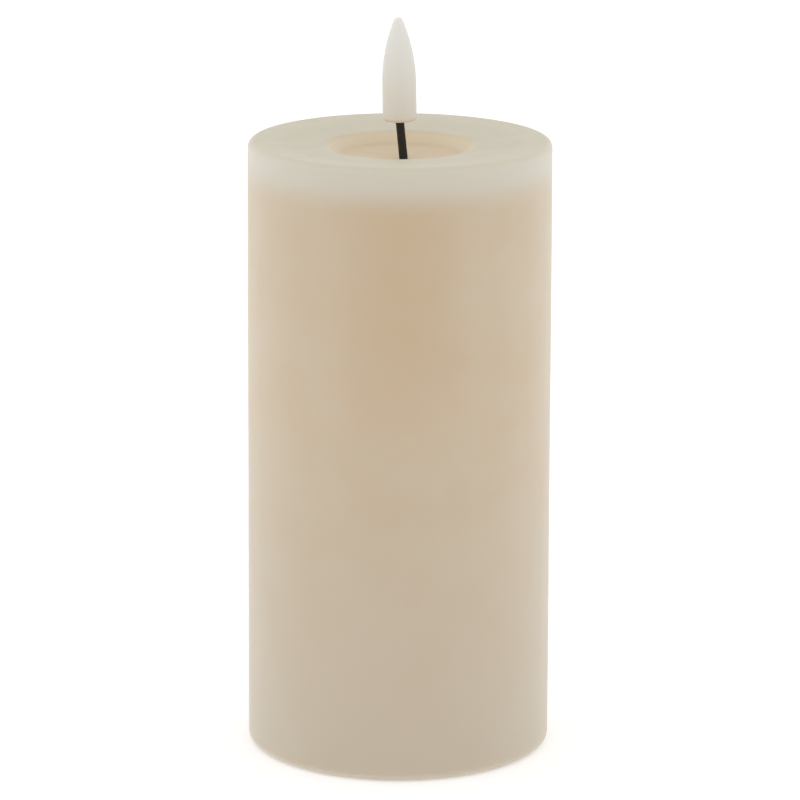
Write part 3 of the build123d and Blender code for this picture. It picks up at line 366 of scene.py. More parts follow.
@dataclass(frozen=True)
class CastWax(Finish):
    """Paraffin wax cast round a plastic core, wiped smooth when it left the mould.

    The solid top gets painted light: a pale band for light that scatters through all of it.  Below
    it the wall is thin over the dark core, so it looks warmer and deeper, with painted shade on
    its front, and it greys a little towards the foot.
    """

    # pale wax of the solid top and rim, with painted light for light scattered through it
    solid_wax_painted_light: str = "D1CBBD"
    dish: str = "D6BF9C"
    # painted glow on the dish's lip and back wall
    painted_lip_glow: str = "E2D2B6"
    shade_ring: str = "CBC1AA"
    crown: str = "CEC5AE"
    foot: str = "C6BAA8"
    # painted shade: darker, warmer colour for a patch on the front of the wall
    front_painted_shade: str = "CAB598"
    mottle: str = "C9AD8C"
    # heights of the band of painted light at the top of the wall
    band_bottom: float = 139.3
    band_top: float = 148.0
    foot_top: float = 92.0
    # where the painted shade patch lies: Y on the front, and the heights it spans
    painted_shade_from: float = -32.5
    painted_shade_bottom: float = 70.0
    painted_shade_top: float = 112.0
    pool_radius: float = 14.2
    lip_radius: float = 17.4
    core_radius: float = 29.0
    outer_radius: float = 37.1
    cloud_mm: float = 16.0
    streak_mm: float = 5.0
    pit_mm: float = 0.9
    relief_mm: float = 0.08
    bloom: float = 0.28
    bloom_roughness: float = 0.6
    scatter: tuple[float, float, float] = (1.0, 0.95, 0.88)
    scatter_mm: float = 2.6

    def detail(self, tree: Tree, shader: Node, place: Socket) -> None:
        """Colour with painted light on the solid top and painted shade on the front of the wall,
        greyer towards the foot, faint clouds and streaks, and light through it.

        Args:
            tree: the material's node tree.
            shader: its principled shader.
            place: socket that gives a point's place on the object, in metres.
        """
        parts = add_node(tree, "ShaderNodeSeparateXYZ", {0: place})
        height = parts.outputs["Z"]
        flat = add_node(tree, "ShaderNodeCombineXYZ", {"X": parts.outputs["X"],
                                                       "Y": parts.outputs["Y"]})
        radius = add_node(tree, "ShaderNodeVectorMath", {0: flat.outputs[0]},
                          operation="LENGTH").outputs["Value"]
        clouds = add_node(tree, "ShaderNodeTexNoise", {
            "Vector": place, "Scale": per_metre(self.cloud_mm), "Detail": 3.0,
            "Roughness": 0.55,
        })
        ragged = add_node(tree, "ShaderNodeMath", {
            0: clouds.outputs["Fac"], 1: 2.5 * MM, 2: height,
        }, operation="MULTIPLY_ADD")
        cloud_share = spread(tree, clouds.outputs["Fac"], (0.42, 0.72), (0.0, 0.35))
        wall = blended(tree, cloud_share, linear(self.colour), linear(self.mottle))
        low = spread(tree, height, (0.0, self.foot_top * MM), (1.0, 0.0))
        lower = blended(tree, low, wall, linear(self.foot))
        # painted shade: a darker, warmer patch on the front (-Y) of the wall, between two heights
        near = spread(tree, parts.outputs["Y"], (self.painted_shade_from * MM, -self.outer_radius * MM),
                      smooth=True)
        high = spread(tree, height, (self.painted_shade_bottom * MM, self.painted_shade_top * MM), smooth=True)
        painted_shade_share = add_node(tree, "ShaderNodeMath", {
            0: near, 1: high,
        }, operation="MULTIPLY")
        side = blended(tree, painted_shade_share.outputs[0], lower, linear(self.front_painted_shade))
        # painted light: a pale band at the top of the wall, for light scattered through the solid
        # wax
        band = spread(tree, ragged.outputs[0], (self.band_bottom * MM, self.band_top * MM),
                      smooth=True)
        top = self.top_rings(tree, radius)
        whole = blended(tree, band, side, top)
        tree.links.new(whole, shader.inputs["Base Color"])
        self.skin(tree, shader, place)

    def top_rings(self, tree: Tree, radius: Socket) -> Socket:
        """Colour the top in rings: tan pool, painted glow on the lip, painted shade over the core,
        pale rim.

        Args:
            tree: the material's node tree.
            radius: socket that gives the distance from the candle's axis, in metres.

        Returns:
            Socket that gives the colour.
        """
        share = spread(tree, radius, (0.0, self.outer_radius * MM))
        # the lip stops are painted glow, the shade ring stops are painted shade over the core
        rings = [
            (self.pool_radius, self.dish),
            (self.lip_radius - 1.5, self.painted_lip_glow),
            (self.lip_radius, self.painted_lip_glow),
            (self.lip_radius + 1.0, self.shade_ring),
            (self.core_radius - 1.5, self.shade_ring),
            (self.core_radius + 1.5, self.crown),
            (self.outer_radius - 2.0, self.crown),
            (self.outer_radius - 0.5, self.solid_wax_painted_light),
        ]
        ramp = add_node(tree, "ShaderNodeValToRGB", {0: share}, stops=[
            (place / self.outer_radius, linear(colour)) for place, colour in rings
        ])
        return ramp.outputs[0]

    def skin(self, tree: Tree, shader: Node, place: Socket) -> None:
        """Add the light inside the wax, its satin gloss and its fine relief.

        Args:
            tree: the material's node tree.
            shader: its principled shader.
            place: socket that gives a point's place on the object.
        """
        drawn = add_node(tree, "ShaderNodeMapping", {"Vector": place, "Scale": (1, 1, 0.12)})
        streaks = add_node(tree, "ShaderNodeTexNoise", {
            "Vector": drawn.outputs[0], "Scale": per_metre(self.streak_mm), "Detail": 4.0,
        })
        pits = add_node(tree, "ShaderNodeTexNoise", {
            "Vector": place, "Scale": per_metre(self.pit_mm), "Detail": 2.0,
        })
        relief = add_node(tree, "ShaderNodeMath", {
            0: pits.outputs["Fac"], 1: 0.35, 2: streaks.outputs["Fac"],
        }, operation="MULTIPLY_ADD")
        bump = add_node(tree, "ShaderNodeBump", {
            "Strength": 0.22, "Distance": self.relief_mm * MM, "Height": relief.outputs[0],
        })
        gloss = spread(tree, streaks.outputs["Fac"], (0.3, 0.7),
                       (self.roughness - 0.05, self.roughness + 0.07))
        tree.links.new(bump.outputs[0], shader.inputs["Normal"])
        tree.links.new(gloss, shader.inputs["Roughness"])
        shader.inputs["Subsurface Weight"].default_value = 1.0
        shader.inputs["Subsurface Radius"].default_value = self.scatter
        shader.inputs["Subsurface Scale"].default_value = self.scatter_mm * MM
        shader.inputs["Sheen Weight"].default_value = self.bloom
        shader.inputs["Sheen Roughness"].default_value = self.bloom_roughness
        shader.inputs["Sheen Tint"].default_value = linear("F2F4EA")


@dataclass(frozen=True)
class FrostedPolypropylene(Finish):
    """Milky polypropylene, blow-moulded and frosted: soft, almost no highlight, lit through.

    Its foot gets painted shade, warmer and darker, for the plug and the board that fill it.
    """

    # painted shade: warmer, darker colour at the flame's foot
    painted_foot_shade: str = "E6E0D4"
    foot_height: float = 154.6
    tip_height: float = 179.6
    frost_mm: float = 0.35
    scatter: tuple[float, float, float] = (1.0, 0.95, 0.85)
    scatter_mm: float = 1.4

    def detail(self, tree: Tree, shader: Node, place: Socket) -> None:
        """Painted shade fading from foot to tip, a frosted skin and light through the wall.

        Args:
            tree: the material's node tree.
            shader: its principled shader.
            place: socket that gives a point's place on the object, in metres.
        """
        height = add_node(tree, "ShaderNodeSeparateXYZ", {0: place}).outputs["Z"]
        clouds = add_node(tree, "ShaderNodeTexNoise", {
            "Vector": place, "Scale": per_metre(4.0), "Detail": 2.0,
        })
        shifted = add_node(tree, "ShaderNodeMath", {
            0: clouds.outputs["Fac"], 1: 3.0 * MM, 2: height,
        }, operation="MULTIPLY_ADD")
        # painted shade: darkest at the foot, fading to the plain colour at the tip
        share = spread(tree, shifted.outputs[0], (self.foot_height * MM, self.tip_height * MM))
        blend = blended(tree, share, linear(self.painted_foot_shade), linear(self.colour))
        frost = add_node(tree, "ShaderNodeTexNoise", {
            "Vector": place, "Scale": per_metre(self.frost_mm), "Detail": 2.0,
        })
        bump = add_node(tree, "ShaderNodeBump", {
            "Strength": 0.15, "Distance": 0.04 * MM, "Height": frost.outputs["Fac"],
        })
        tree.links.new(blend, shader.inputs["Base Color"])
        tree.links.new(bump.outputs[0], shader.inputs["Normal"])
        shader.inputs["Subsurface Weight"].default_value = 1.0
        shader.inputs["Subsurface Radius"].default_value = self.scatter
        shader.inputs["Subsurface Scale"].default_value = self.scatter_mm * MM


class Mould(Enum):
    """How a moulded plastic's surface left its mould: grain size and depth, in millimetres."""

    SPARK = (0.45, 0.035)
    SATIN = (0.25, 0.012)
    POLISHED = (2.5, 0.006)


@dataclass(frozen=True)
class MouldedPlastic(Finish):
    """Injection-moulded plastic: even colour with faint flow clouds, and its mould's grain."""

    mould: Mould = Mould.SATIN
    glow: float = 0.0

    def detail(self, tree: Tree, shader: Node, place: Socket) -> None:
        """Flow clouds in the colour and gloss, the mould's grain, and a little glow.

        Args:
            tree: the material's node tree.
            shader: its principled shader.
            place: socket that gives a point's place on the object, in metres.
        """
        grain_mm, depth_mm = self.mould.value
        flow = add_node(tree, "ShaderNodeTexNoise", {
            "Vector": place, "Scale": per_metre(9.0), "Detail": 3.0,
        })
        shade = spread(tree, flow.outputs["Fac"], (0.3, 0.7), (0.0, 0.16))
        deep = [0.72 * part for part in linear(self.colour)[:3]] + [1.0]
        blend = blended(tree, shade, linear(self.colour), deep)
        gloss = spread(tree, flow.outputs["Fac"], (0.3, 0.7),
                       (self.roughness - 0.05, self.roughness + 0.06))
        grain = add_node(tree, "ShaderNodeTexVoronoi", {
            "Vector": place, "Scale": per_metre(grain_mm),
        }, feature="SMOOTH_F1")
        bump = add_node(tree, "ShaderNodeBump", {
            "Strength": 0.35, "Distance": depth_mm * MM, "Height": grain.outputs["Distance"],
        })
        tree.links.new(blend, shader.inputs["Base Color"])
        tree.links.new(gloss, shader.inputs["Roughness"])
        tree.links.new(bump.outputs[0], shader.inputs["Normal"])
        if self.glow:
            shader.inputs["Subsurface Weight"].default_value = self.glow
            shader.inputs["Subsurface Radius"].default_value = (1.0, 0.9, 0.75)
            shader.inputs["Subsurface Scale"].default_value = 0.8 * MM


@dataclass(frozen=True)
class PlatedMetal(Finish):
    """Pressed or turned metal with a plating: bright, with tumbling marks and dull patches."""

    dull: str = "8C8A84"
    scratch_mm: float = 0.3

    def detail(self, tree: Tree, shader: Node, place: Socket) -> None:
        """Dull patches in the plating and short tumbling scratches.

        Args:
            tree: the material's node tree.
            shader: its principled shader.
            place: socket that gives a point's place on the object, in metres.
        """
        patches = add_node(tree, "ShaderNodeTexNoise", {
            "Vector": place, "Scale": per_metre(2.2), "Detail": 4.0,
        })
        share = spread(tree, patches.outputs["Fac"], (0.45, 0.75), (0.0, 0.6))
        blend = blended(tree, share, linear(self.colour), linear(self.dull))
        stretched = add_node(tree, "ShaderNodeMapping", {"Vector": place, "Scale": (1, 0.2, 1)})
        scratches = add_node(tree, "ShaderNodeTexNoise", {
            "Vector": stretched.outputs[0], "Scale": per_metre(self.scratch_mm), "Detail": 3.0,
        })
        gloss = spread(tree, scratches.outputs["Fac"], (0.3, 0.7),
                       (self.roughness - 0.08, self.roughness + 0.1))
        bump = add_node(tree, "ShaderNodeBump", {
            "Strength": 0.12, "Distance": 0.01 * MM, "Height": scratches.outputs["Fac"],
        })
        tree.links.new(blend, shader.inputs["Base Color"])
        tree.links.new(gloss, shader.inputs["Roughness"])
        tree.links.new(bump.outputs[0], shader.inputs["Normal"])
        shader.inputs["Metallic"].default_value = 1.0


@dataclass(frozen=True)
class CellSleeve(Finish):
    """Shrunk plastic sleeve on a steel cell: plain colour, one pale band, bare steel ends."""

    band: str = "D9D4C4"
    steel: str = "B9B7B0"
    low_x: float = 0.0
    high_x: float = 1.0
    pole_side: int = 1
    bare_mm: float = 1.6
    band_mm: tuple[float, float] = (7.0, 10.0)

    def detail(self, tree: Tree, shader: Node, place: Socket) -> None:
        """Bands along the cell, with a scuffed gloss on the sleeve.

        Args:
            tree: the material's node tree.
            shader: its principled shader.
            place: socket that gives a point's place on the object, in metres.
        """
        along = add_node(tree, "ShaderNodeSeparateXYZ", {0: place}).outputs["X"]
        share = spread(tree, along, (self.low_x, self.high_x),
                       (0.0 if self.pole_side > 0 else 1.0, 1.0 if self.pole_side > 0 else 0.0))
        length = (self.high_x - self.low_x) / MM
        bare = self.bare_mm / length
        near, far = (1 - mm / length for mm in reversed(self.band_mm))
        sleeve = linear(self.colour)
        steel = linear(self.steel)
        bands = add_node(tree, "ShaderNodeValToRGB", {0: share}, stops=[
            (0.0, steel), (bare, sleeve), (near, linear(self.band)), (far, sleeve),
            (1 - 1.2 * bare, steel),
        ])
        bands.color_ramp.interpolation = "CONSTANT"
        metal = add_node(tree, "ShaderNodeValToRGB", {0: share}, stops=[
            (0.0, (1, 1, 1, 1)), (bare, (0, 0, 0, 1)), (1 - 1.2 * bare, (1, 1, 1, 1)),
        ])
        metal.color_ramp.interpolation = "CONSTANT"
        scuffs = add_node(tree, "ShaderNodeTexNoise", {
            "Vector": place, "Scale": per_metre(1.4), "Detail": 5.0,
        })
        gloss = spread(tree, scuffs.outputs["Fac"], (0.3, 0.7),
                       (self.roughness - 0.06, self.roughness + 0.14))
        tree.links.new(bands.outputs[0], shader.inputs["Base Color"])
        tree.links.new(metal.outputs[0], shader.inputs["Metallic"])
        tree.links.new(gloss, shader.inputs["Roughness"])


@dataclass(frozen=True)
class MaskedBoard(Finish):
    """Glass-epoxy circuit board under solder mask, with copper tracks that show as paler lines."""

    track: str = "2F7A4A"
    track_mm: float = 1.27

    def detail(self, tree: Tree, shader: Node, place: Socket) -> None:
        """Straight tracks on a 1.27 mm grid, raised a little under the mask.

        Args:
            tree: the material's node tree.
            shader: its principled shader.
            place: socket that gives a point's place on the object, in metres.
        """
        tracks = add_node(tree, "ShaderNodeTexBrick", {
            "Vector": place, "Color1": (0, 0, 0, 1), "Color2": (0, 0, 0, 1),
            "Mortar": (1, 1, 1, 1), "Scale": per_metre(self.track_mm) / 4, "Mortar Size": 0.06,
            "Mortar Smooth": 0.1, "Brick Width": 1.5, "Row Height": 1.0,
        })
        blend = blended(tree, tracks.outputs["Color"], linear(self.colour), linear(self.track))
        weave = add_node(tree, "ShaderNodeTexNoise", {
            "Vector": place, "Scale": per_metre(0.5), "Detail": 2.0,
        })
        relief = add_node(tree, "ShaderNodeMath", {
            0: weave.outputs["Fac"], 1: 0.2, 2: tracks.outputs["Fac"],
        }, operation="MULTIPLY_ADD")
        bump = add_node(tree, "ShaderNodeBump", {
            "Strength": 0.3, "Distance": 0.035 * MM, "Height": relief.outputs[0],
        })
        tree.links.new(blend, shader.inputs["Base Color"])
        tree.links.new(bump.outputs[0], shader.inputs["Normal"])


# warm ivory, satin, as if lit from inside
WAX = CastWax("paraffin_wax_cast", "CDBCA4", roughness=0.46, ior=1.44)
# milky white with almost no highlight
FLAME_PP = FrostedPolypropylene("polypropylene_frosted", "E7E5E0", roughness=0.52, ior=1.49)
# near black and dull
WICK_PVC = MouldedPlastic("pvc_black_extruded", "14110C", roughness=0.6, mould=Mould.SATIN)
# ivory plastics: pebbled base, smoother door, cream inside parts
BASE_ABS = MouldedPlastic("abs_ivory_spark_moulded", "D8D2C2", roughness=0.5, ior=1.53,
                          mould=Mould.SPARK, glow=0.15)
DOOR_ABS = MouldedPlastic("abs_ivory_satin_moulded", "DAD4C5", roughness=0.42, ior=1.53,
                          mould=Mould.SATIN, glow=0.15)
TRAY_ABS = MouldedPlastic("abs_cream_moulded", "CFC8B6", roughness=0.5, ior=1.53)
LINER_PP = MouldedPlastic("polypropylene_cream_moulded", "D9CFBC", roughness=0.48, ior=1.49,
                          glow=0.3)
# small dark parts: slick knob, brown wafer, flat black chip, shiny sleeve
KNOB_ACETAL = MouldedPlastic("acetal_black_moulded", "191918", roughness=0.34, ior=1.48,
                             mould=Mould.POLISHED)
PAPER_WAFER = MouldedPlastic("phenolic_paper_punched", "7A4A26", roughness=0.6, ior=1.55)
CHIP_EPOXY = MouldedPlastic("epoxy_black_moulded", "17181A", roughness=0.5, ior=1.55)
CAPACITOR_SLEEVE = MouldedPlastic("pet_sleeve_dark_shrunk", "20242E", roughness=0.25, ior=1.57,
                                  mould=Mould.POLISHED)
# amber jelly over the chips
LED_GEL = MouldedPlastic("silicone_phosphor_cast", "E6B548", roughness=0.3, ior=1.41,
                         mould=Mould.POLISHED, glow=0.5)
# soft, even gloss of wire insulation
RED_PVC = MouldedPlastic("pvc_red_extruded", "A01C18", roughness=0.4, mould=Mould.POLISHED)
BLACK_PVC = MouldedPlastic("pvc_black_lead_extruded", "1C1C1D", roughness=0.4,
                           mould=Mould.POLISHED)
WHITE_PVC = MouldedPlastic("pvc_white_extruded", "D9D8D0", roughness=0.4, mould=Mould.POLISHED)
# blue-grey, warmer silver, and orange metal
ZINC_STEEL = PlatedMetal("steel_zinc_plated", "C3C4C6", roughness=0.32)
NICKEL_STEEL = PlatedMetal("steel_nickel_plated", "D0CDC4", roughness=0.24, dull="A39E92")
BRONZE = PlatedMetal("phosphor_bronze_rolled", "C9955A", roughness=0.3, dull="8E6238")
# glassy green and eggshell white, with tracks under the mask
GREEN_BOARD = MaskedBoard("glass_epoxy_green_masked", "1D5A33", roughness=0.28, ior=1.55)
WHITE_BOARD = MaskedBoard("glass_epoxy_white_masked", "D6D6D0", roughness=0.35, ior=1.55,
                          track="BEBDB2")


# ------------------------------------------------------------------ pieces
@dataclass
class WaxPillar:
    """The wax shell, lathe-turned with soft edges and the slight waviness of cast wax."""

    dish_lip: Point = (18.2, 148.75)
    dish_foot: Point = (15.0, 145.9)
    pool_centre: float = 145.05
    pool_middle: Point = (8.0, 145.35)
    hole_radius: float = 1.25
    hole_bottom: float = 141.2
    core_top: float = 138.1
    core_radius: Point = (33.5, 32.6)
    plate_radius: float = 34.6
    plate_top: float = 2.7
    sides: int = 288
    corner_rise: float = 0.1  # sharp corner above the rounded one
    draft: float = 0.4  # how much narrower the wall is at its top
    outer_rounds: tuple[float, ...] = (0.3, 60.0, 2.4, 2.2, 1.6, 1.6)
    inner_rounds: tuple[float, ...] = (0.1, 0.1, 3.5, 0.2, 0.2, 0.2, 0.2)
    holder_radius: float = 10.2
    holder_depth: float = 2.0
    holder_bore: float = 3.4
    facet_mm: float = 1.8  # longest edge of the outline
    lean_reach: float = 12.0  # radius where the wick's lean stops
    wall_from: float = 35.5  # radius where the wall's waves start
    fade_mm: float = 3.0
    melt_from: float = 2.5
    wave_mm: float = 0.07
    melt_mm: float = 0.1
    wick: "Wick" = field(default_factory=lambda: Wick())

    def outline(self) -> list[Point]:
        """Closed outline from the wick hole over the dish, down the wall and up the inside.

        Returns:
            Radius and height of each point, in millimetres.
        """
        low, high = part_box("wax_pillar")
        foot_radius = (high.x - low.x) / 2 / MM - self.wave_mm
        top = high.z / MM + self.corner_rise
        foot = low.z / MM
        top_radius = foot_radius - self.draft
        outside = rounded(
            [
                (self.hole_radius, self.hole_bottom),
                (self.hole_radius, self.pool_centre),
                self.pool_middle,
                self.dish_foot,
                self.dish_lip,
                (top_radius, top),
                (foot_radius, foot),
                (self.plate_radius, foot),
            ],
            self.outer_rounds,
            8,
        )
        inside = rounded(
            [
                (self.plate_radius, foot),
                (self.plate_radius, self.plate_top),
                (self.core_radius[0], self.plate_top),
                (self.core_radius[1], self.core_top),
                (self.holder_radius, self.core_top),
                (self.holder_radius, self.core_top + self.holder_depth),
                (self.holder_bore, self.core_top + self.holder_depth),
                (self.holder_bore, self.hole_bottom),
                (self.hole_radius, self.hole_bottom),
            ],
            self.inner_rounds,
            3,
        )
        return refined(outside, self.facet_mm) + inside[1:-1]

    def hole_shift(self, radius: float, height: float) -> float:
        """Sideways shift of a ring, so that the wick hole follows the leaning wick.

        Args:
            radius: the ring's radius.
            height: the ring's height.

        Returns:
            Shift along X, in millimetres.
        """
        fade = max(0.0, 1 - radius / self.lean_reach)
        return self.wick.x_at(height) * min(1.0, fade * 1.4)

    def undulate(self, piece: bpy.types.Object) -> None:
        """Move the outside in and out as cast wax does, more so on the floor of the dish.

        Args:
            piece: the wax shell.
        """
        for vertex in piece.data.vertices:
            place = vertex.co / MM
            radius = math.hypot(place.x, place.y)
            if radius > self.wall_from:
                slow = noise.noise(Vector((place.x, place.y, place.z * 0.5)) / 22.0)
                quick = noise.noise(place / 6.0)
                push = self.wave_mm * (slow + 0.25 * quick)
                vertex.co += Vector((place.x, place.y, 0)) / radius * push * MM
            elif place.z > self.hole_bottom + 2 and radius > self.melt_from:
                fade = (min(1.0, (radius - self.melt_from) / self.fade_mm)
                        * min(1.0, (self.wall_from - radius) / self.fade_mm))
                swell = noise.noise(place / 7.0) + 0.4 * noise.noise(place / 2.6)
                vertex.co.z += self.melt_mm * fade * swell * MM

    def build(self) -> None:
        """Make the wax shell and put it in place of its CAD node."""
        piece = lathe("wax_shell", self.outline(), self.sides, True, self.hole_shift)
        self.undulate(piece)
        settle(piece, WAX, "root", ["wax_pillar"])


@dataclass
class Wick:
    """The thin black sleeve that leans out of the dish and carries the flame."""

    foot: tuple[float, float] = (0.85, 145.2)
    head: tuple[float, float] = (-0.10, 154.6)
    radius: float = 1.05
    bore: float = 0.7
    sides: int = 40
    rib_mm: float = 0.025
    rib_pitch: float = 0.9
    end_gap: float = 0.12
    skin_gap: float = 0.02
    rings: int = 60

    def x_at(self, height: float) -> float:
        """Where the wick's axis is along X at a height.

        Args:
            height: height above the table, in millimetres.

        Returns:
            X of the axis, in millimetres.
        """
        slope = (self.head[0] - self.foot[0]) / (self.head[1] - self.foot[1])
        return self.foot[0] + slope * (height - self.foot[1])

    def outline(self) -> list[Point]:
        """Closed outline of the sleeve's wall, with the faint ribs that its die leaves.

        Returns:
            Radius and height of each point, in millimetres.
        """
        low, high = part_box("wick_tube")
        bottom = low.z / MM + self.end_gap
        top = high.z / MM - self.end_gap
        outside = []
        for ring in range(self.rings + 1):
            height = bottom + (top - bottom) * ring / self.rings
            ripple = self.rib_mm * noise.noise(Vector((height / self.rib_pitch, 3.7, 1.3)))
            outside.append((self.radius - self.skin_gap + ripple, height))
        return outside + [(self.bore, top), (self.bore, bottom)]

    def build(self) -> None:
        """Make the sleeve and put it in place of its CAD node."""
        piece = lathe("wick_sleeve", self.outline(), self.sides, True,
                      lambda radius, height: self.x_at(height))
        settle(piece, WICK_PVC, "root", ["wick_tube"])


@dataclass
class Flame:
    """The frosted flame: straight foot, ogive sides and a round tip, hollow inside."""

    foot: tuple[float, float, float] = (-0.10, 0.0, 154.6)
    tip: tuple[float, float, float] = (-0.55, 0.0, 179.5)
    length: float = 25.0
    radius: float = 4.08
    wall: float = 1.2
    straight: float = 9.0
    ogive: float = 40.7
    foot_round: float = 1.1
    tip_round: float = 1.2
    sides: int = 96
    steps: int = 40
    tip_steps: int = 8
    facet_mm: float = 0.9

    def side(self, inset: float) -> list[Point]:
        """Outline of one face of the wall, from the end of the straight foot to the tip.

        Args:
            inset: how far inside the outer face it lies.

        Returns:
            Radius and height of each point, in millimetres.
        """
        centre = self.radius - self.ogive
        crown = self.length - self.tip_round
        tangent = math.atan2(crown - self.straight, -centre)
        points = []
        for step in range(self.steps + 1):
            angle = tangent * step / self.steps
            points.append((centre + (self.ogive - inset) * math.cos(angle),
                           self.straight + (self.ogive - inset) * math.sin(angle)))
        cap = max(0.0, self.tip_round - inset)
        for step in range(1, self.tip_steps + 1):
            angle = tangent + (math.pi / 2 - tangent) * step / self.tip_steps
            points.append((cap * math.cos(angle), crown + cap * math.sin(angle)))
        points[-1] = (0.0, points[-1][1])
        return [point for index, point in enumerate(points)
                if index == 0 or math.dist(point, points[index - 1]) > 1e-4]

    def outline(self) -> list[Point]:
        """Open outline of the wall, from the tip outside, round the foot, to the tip inside.

        Returns:
            Radius and height of each point, in millimetres.
        """
        foot = rounded(
            [
                (self.radius - self.wall, 0.0),
                (self.radius, 0.0),
                (self.radius, self.straight),
            ],
            [self.foot_round],
            10,
        )
        outside = refined(foot, self.facet_mm)[:-1] + self.side(0.0)
        inside = refined([(self.radius - self.wall, 0.0),
                          (self.radius - self.wall, self.straight)], 1.5)[1:-1]
        return list(reversed(outside)) + inside + self.side(self.wall)

    def place(self) -> Matrix:
        """Where the flame stands: its foot on the wick, leaning towards its tip."""
        axis = Vector(self.tip) - Vector(self.foot)
        turn = Vector((0, 0, 1)).rotation_difference(axis).to_matrix().to_4x4()
        return Matrix.Translation(Vector(self.foot) * MM) @ turn

    def build(self) -> None:
        """Make the flame, put it in place of its CAD node and finish what is inside it."""
        piece = lathe("flame_bullet", self.outline(), self.sides, False)
        piece.data.transform(self.place())
        settle(piece, FLAME_PP, "root", ["flame_shell"])
        dress(["flame_plug"], FLAME_PP)
        dress(["flame_led_board"], WHITE_BOARD)
        dress(["flame_leds"], LED_GEL)


@dataclass
class Core:
    """The liner inside the wax, the wick holder and its screws."""

    def build(self) -> None:
        """Finish the core's CAD nodes."""
        dress(["core_liner"], LINER_PP)
        dress(["wick_holder"], TRAY_ABS)
        dress(["holder_screws"], ZINC_STEEL)


@dataclass
class Base:
    """The base plate, its door and screws, and the signs moulded on its underside."""

    sign_y: float = 29.0
    sign_pitch: float = 3.6
    sign_radius: float = 1.0
    sign_stroke: float = 0.42
    sign_depth: float = 0.25
    sign_taper: float = 0.6
    sign_sides: int = 40
    sign_sink: float = 0.02
    face_inset: float = 0.25
    chevron_pitch: float = 1.6
    arrow_x: float = 17.2
    arrow_size: float = 2.6

    def plate_face(self) -> float:
        """Height of the base plate's underside inside its foot ring, in millimetres."""
        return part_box("battery_door")[0].z / MM + self.face_inset

    def bar(self, mesh: bmesh.types.BMesh, start: Point, end: Point, top: float) -> None:
        """Add one raised stroke of a sign, with sloping sides.

        Args:
            mesh: the mesh that takes it.
            start: X and Y of one end, in millimetres.
            end: X and Y of the other end.
            top: height of the face that it stands on, from below.
        """
        run = (Vector(end) - Vector(start)).normalized()
        across = Vector((-run.y, run.x)) * self.sign_stroke / 2
        base = []
        crown = []
        for place, sign in ((start, 1), (end, 1), (end, -1), (start, -1)):
            flat = Vector(place) + across * sign
            base.append(mesh.verts.new(Vector((flat.x, flat.y, top)) * MM))
            near = Vector(place) + across * sign * self.sign_taper
            crown.append(mesh.verts.new(Vector((near.x, near.y, top - self.sign_depth)) * MM))
        mesh.faces.new(base)
        mesh.faces.new(crown)
        for index in range(4):
            after = (index + 1) % 4
            mesh.faces.new([base[index], base[after], crown[after], crown[index]])

    def hoop(self, mesh: bmesh.types.BMesh, x: float, y: float, top: float) -> None:
        """Add one raised ring of a sign.

        Args:
            mesh: the mesh that takes it.
            x: X of its centre, in millimetres.
            y: Y of its centre.
            top: height of the face that it stands on, from below.
        """
        sides = self.sign_sides
        section = [(-0.5, 0.0), (-0.3, -1.0), (0.3, -1.0), (0.5, 0.0)]
        rings = []
        for side in range(sides):
            angle = 2 * math.pi * side / sides
            ring = []
            for out, down in section:
                radius = self.sign_radius + out * self.sign_stroke
                spot = (x + radius * math.cos(angle), y + radius * math.sin(angle),
                        top + down * self.sign_depth)
                ring.append(mesh.verts.new(Vector(spot) * MM))
            rings.append(ring)
        for side in range(sides):
            one = rings[side]
            two = rings[(side + 1) % sides]
            for index in range(4):
                after = (index + 1) % 4
                mesh.faces.new([one[index], one[after], two[after], two[index]])

    def switch_signs(self) -> bpy.types.Object:
        """Make the three signs beside the switch: ring for off, bar for on, clock for timer.

        Returns:
            The signs as one object.
        """
        top = self.plate_face() + self.sign_sink
        mesh = bmesh.new()
        self.hoop(mesh, -self.sign_pitch, self.sign_y, top)
        self.bar(mesh, (0, self.sign_y - 1.0), (0, self.sign_y + 1.0), top)
        self.hoop(mesh, self.sign_pitch, self.sign_y, top)
        middle = (self.sign_pitch, self.sign_y)
        self.bar(mesh, middle, (self.sign_pitch, self.sign_y - 0.7), top - 0.01)
        self.bar(mesh, middle, (self.sign_pitch + 0.5, self.sign_y), top - 0.02)
        bmesh.ops.recalc_face_normals(mesh, faces=mesh.faces)
        return finished_mesh("switch_signs", mesh)

    def door_arrow(self) -> bpy.types.Object:
        """Make the raised chevrons that point at the door's latch.

        Returns:
            The chevrons as one object.
        """
        top = self.plate_face() + self.sign_sink
        mesh = bmesh.new()
        for step in range(2):
            x = self.arrow_x - self.chevron_pitch * step
            tip = (x + self.arrow_size / 2, 0.0)
            self.bar(mesh, (x, self.arrow_size), tip, top - 0.005)
            self.bar(mesh, (x, -self.arrow_size), tip, top)
        bmesh.ops.recalc_face_normals(mesh, faces=mesh.faces)
        return finished_mesh("door_arrow", mesh)

    def build(self) -> None:
        """Finish the base's CAD nodes and add the moulded signs."""
        dress(["base_plate"], BASE_ABS)
        dress(["battery_door"], DOOR_ABS)
        dress(["base_screws", "tray_screws"], ZINC_STEEL)
        settle(self.switch_signs(), BASE_ABS, "root")
        settle(self.door_arrow(), DOOR_ABS, "battery_door")


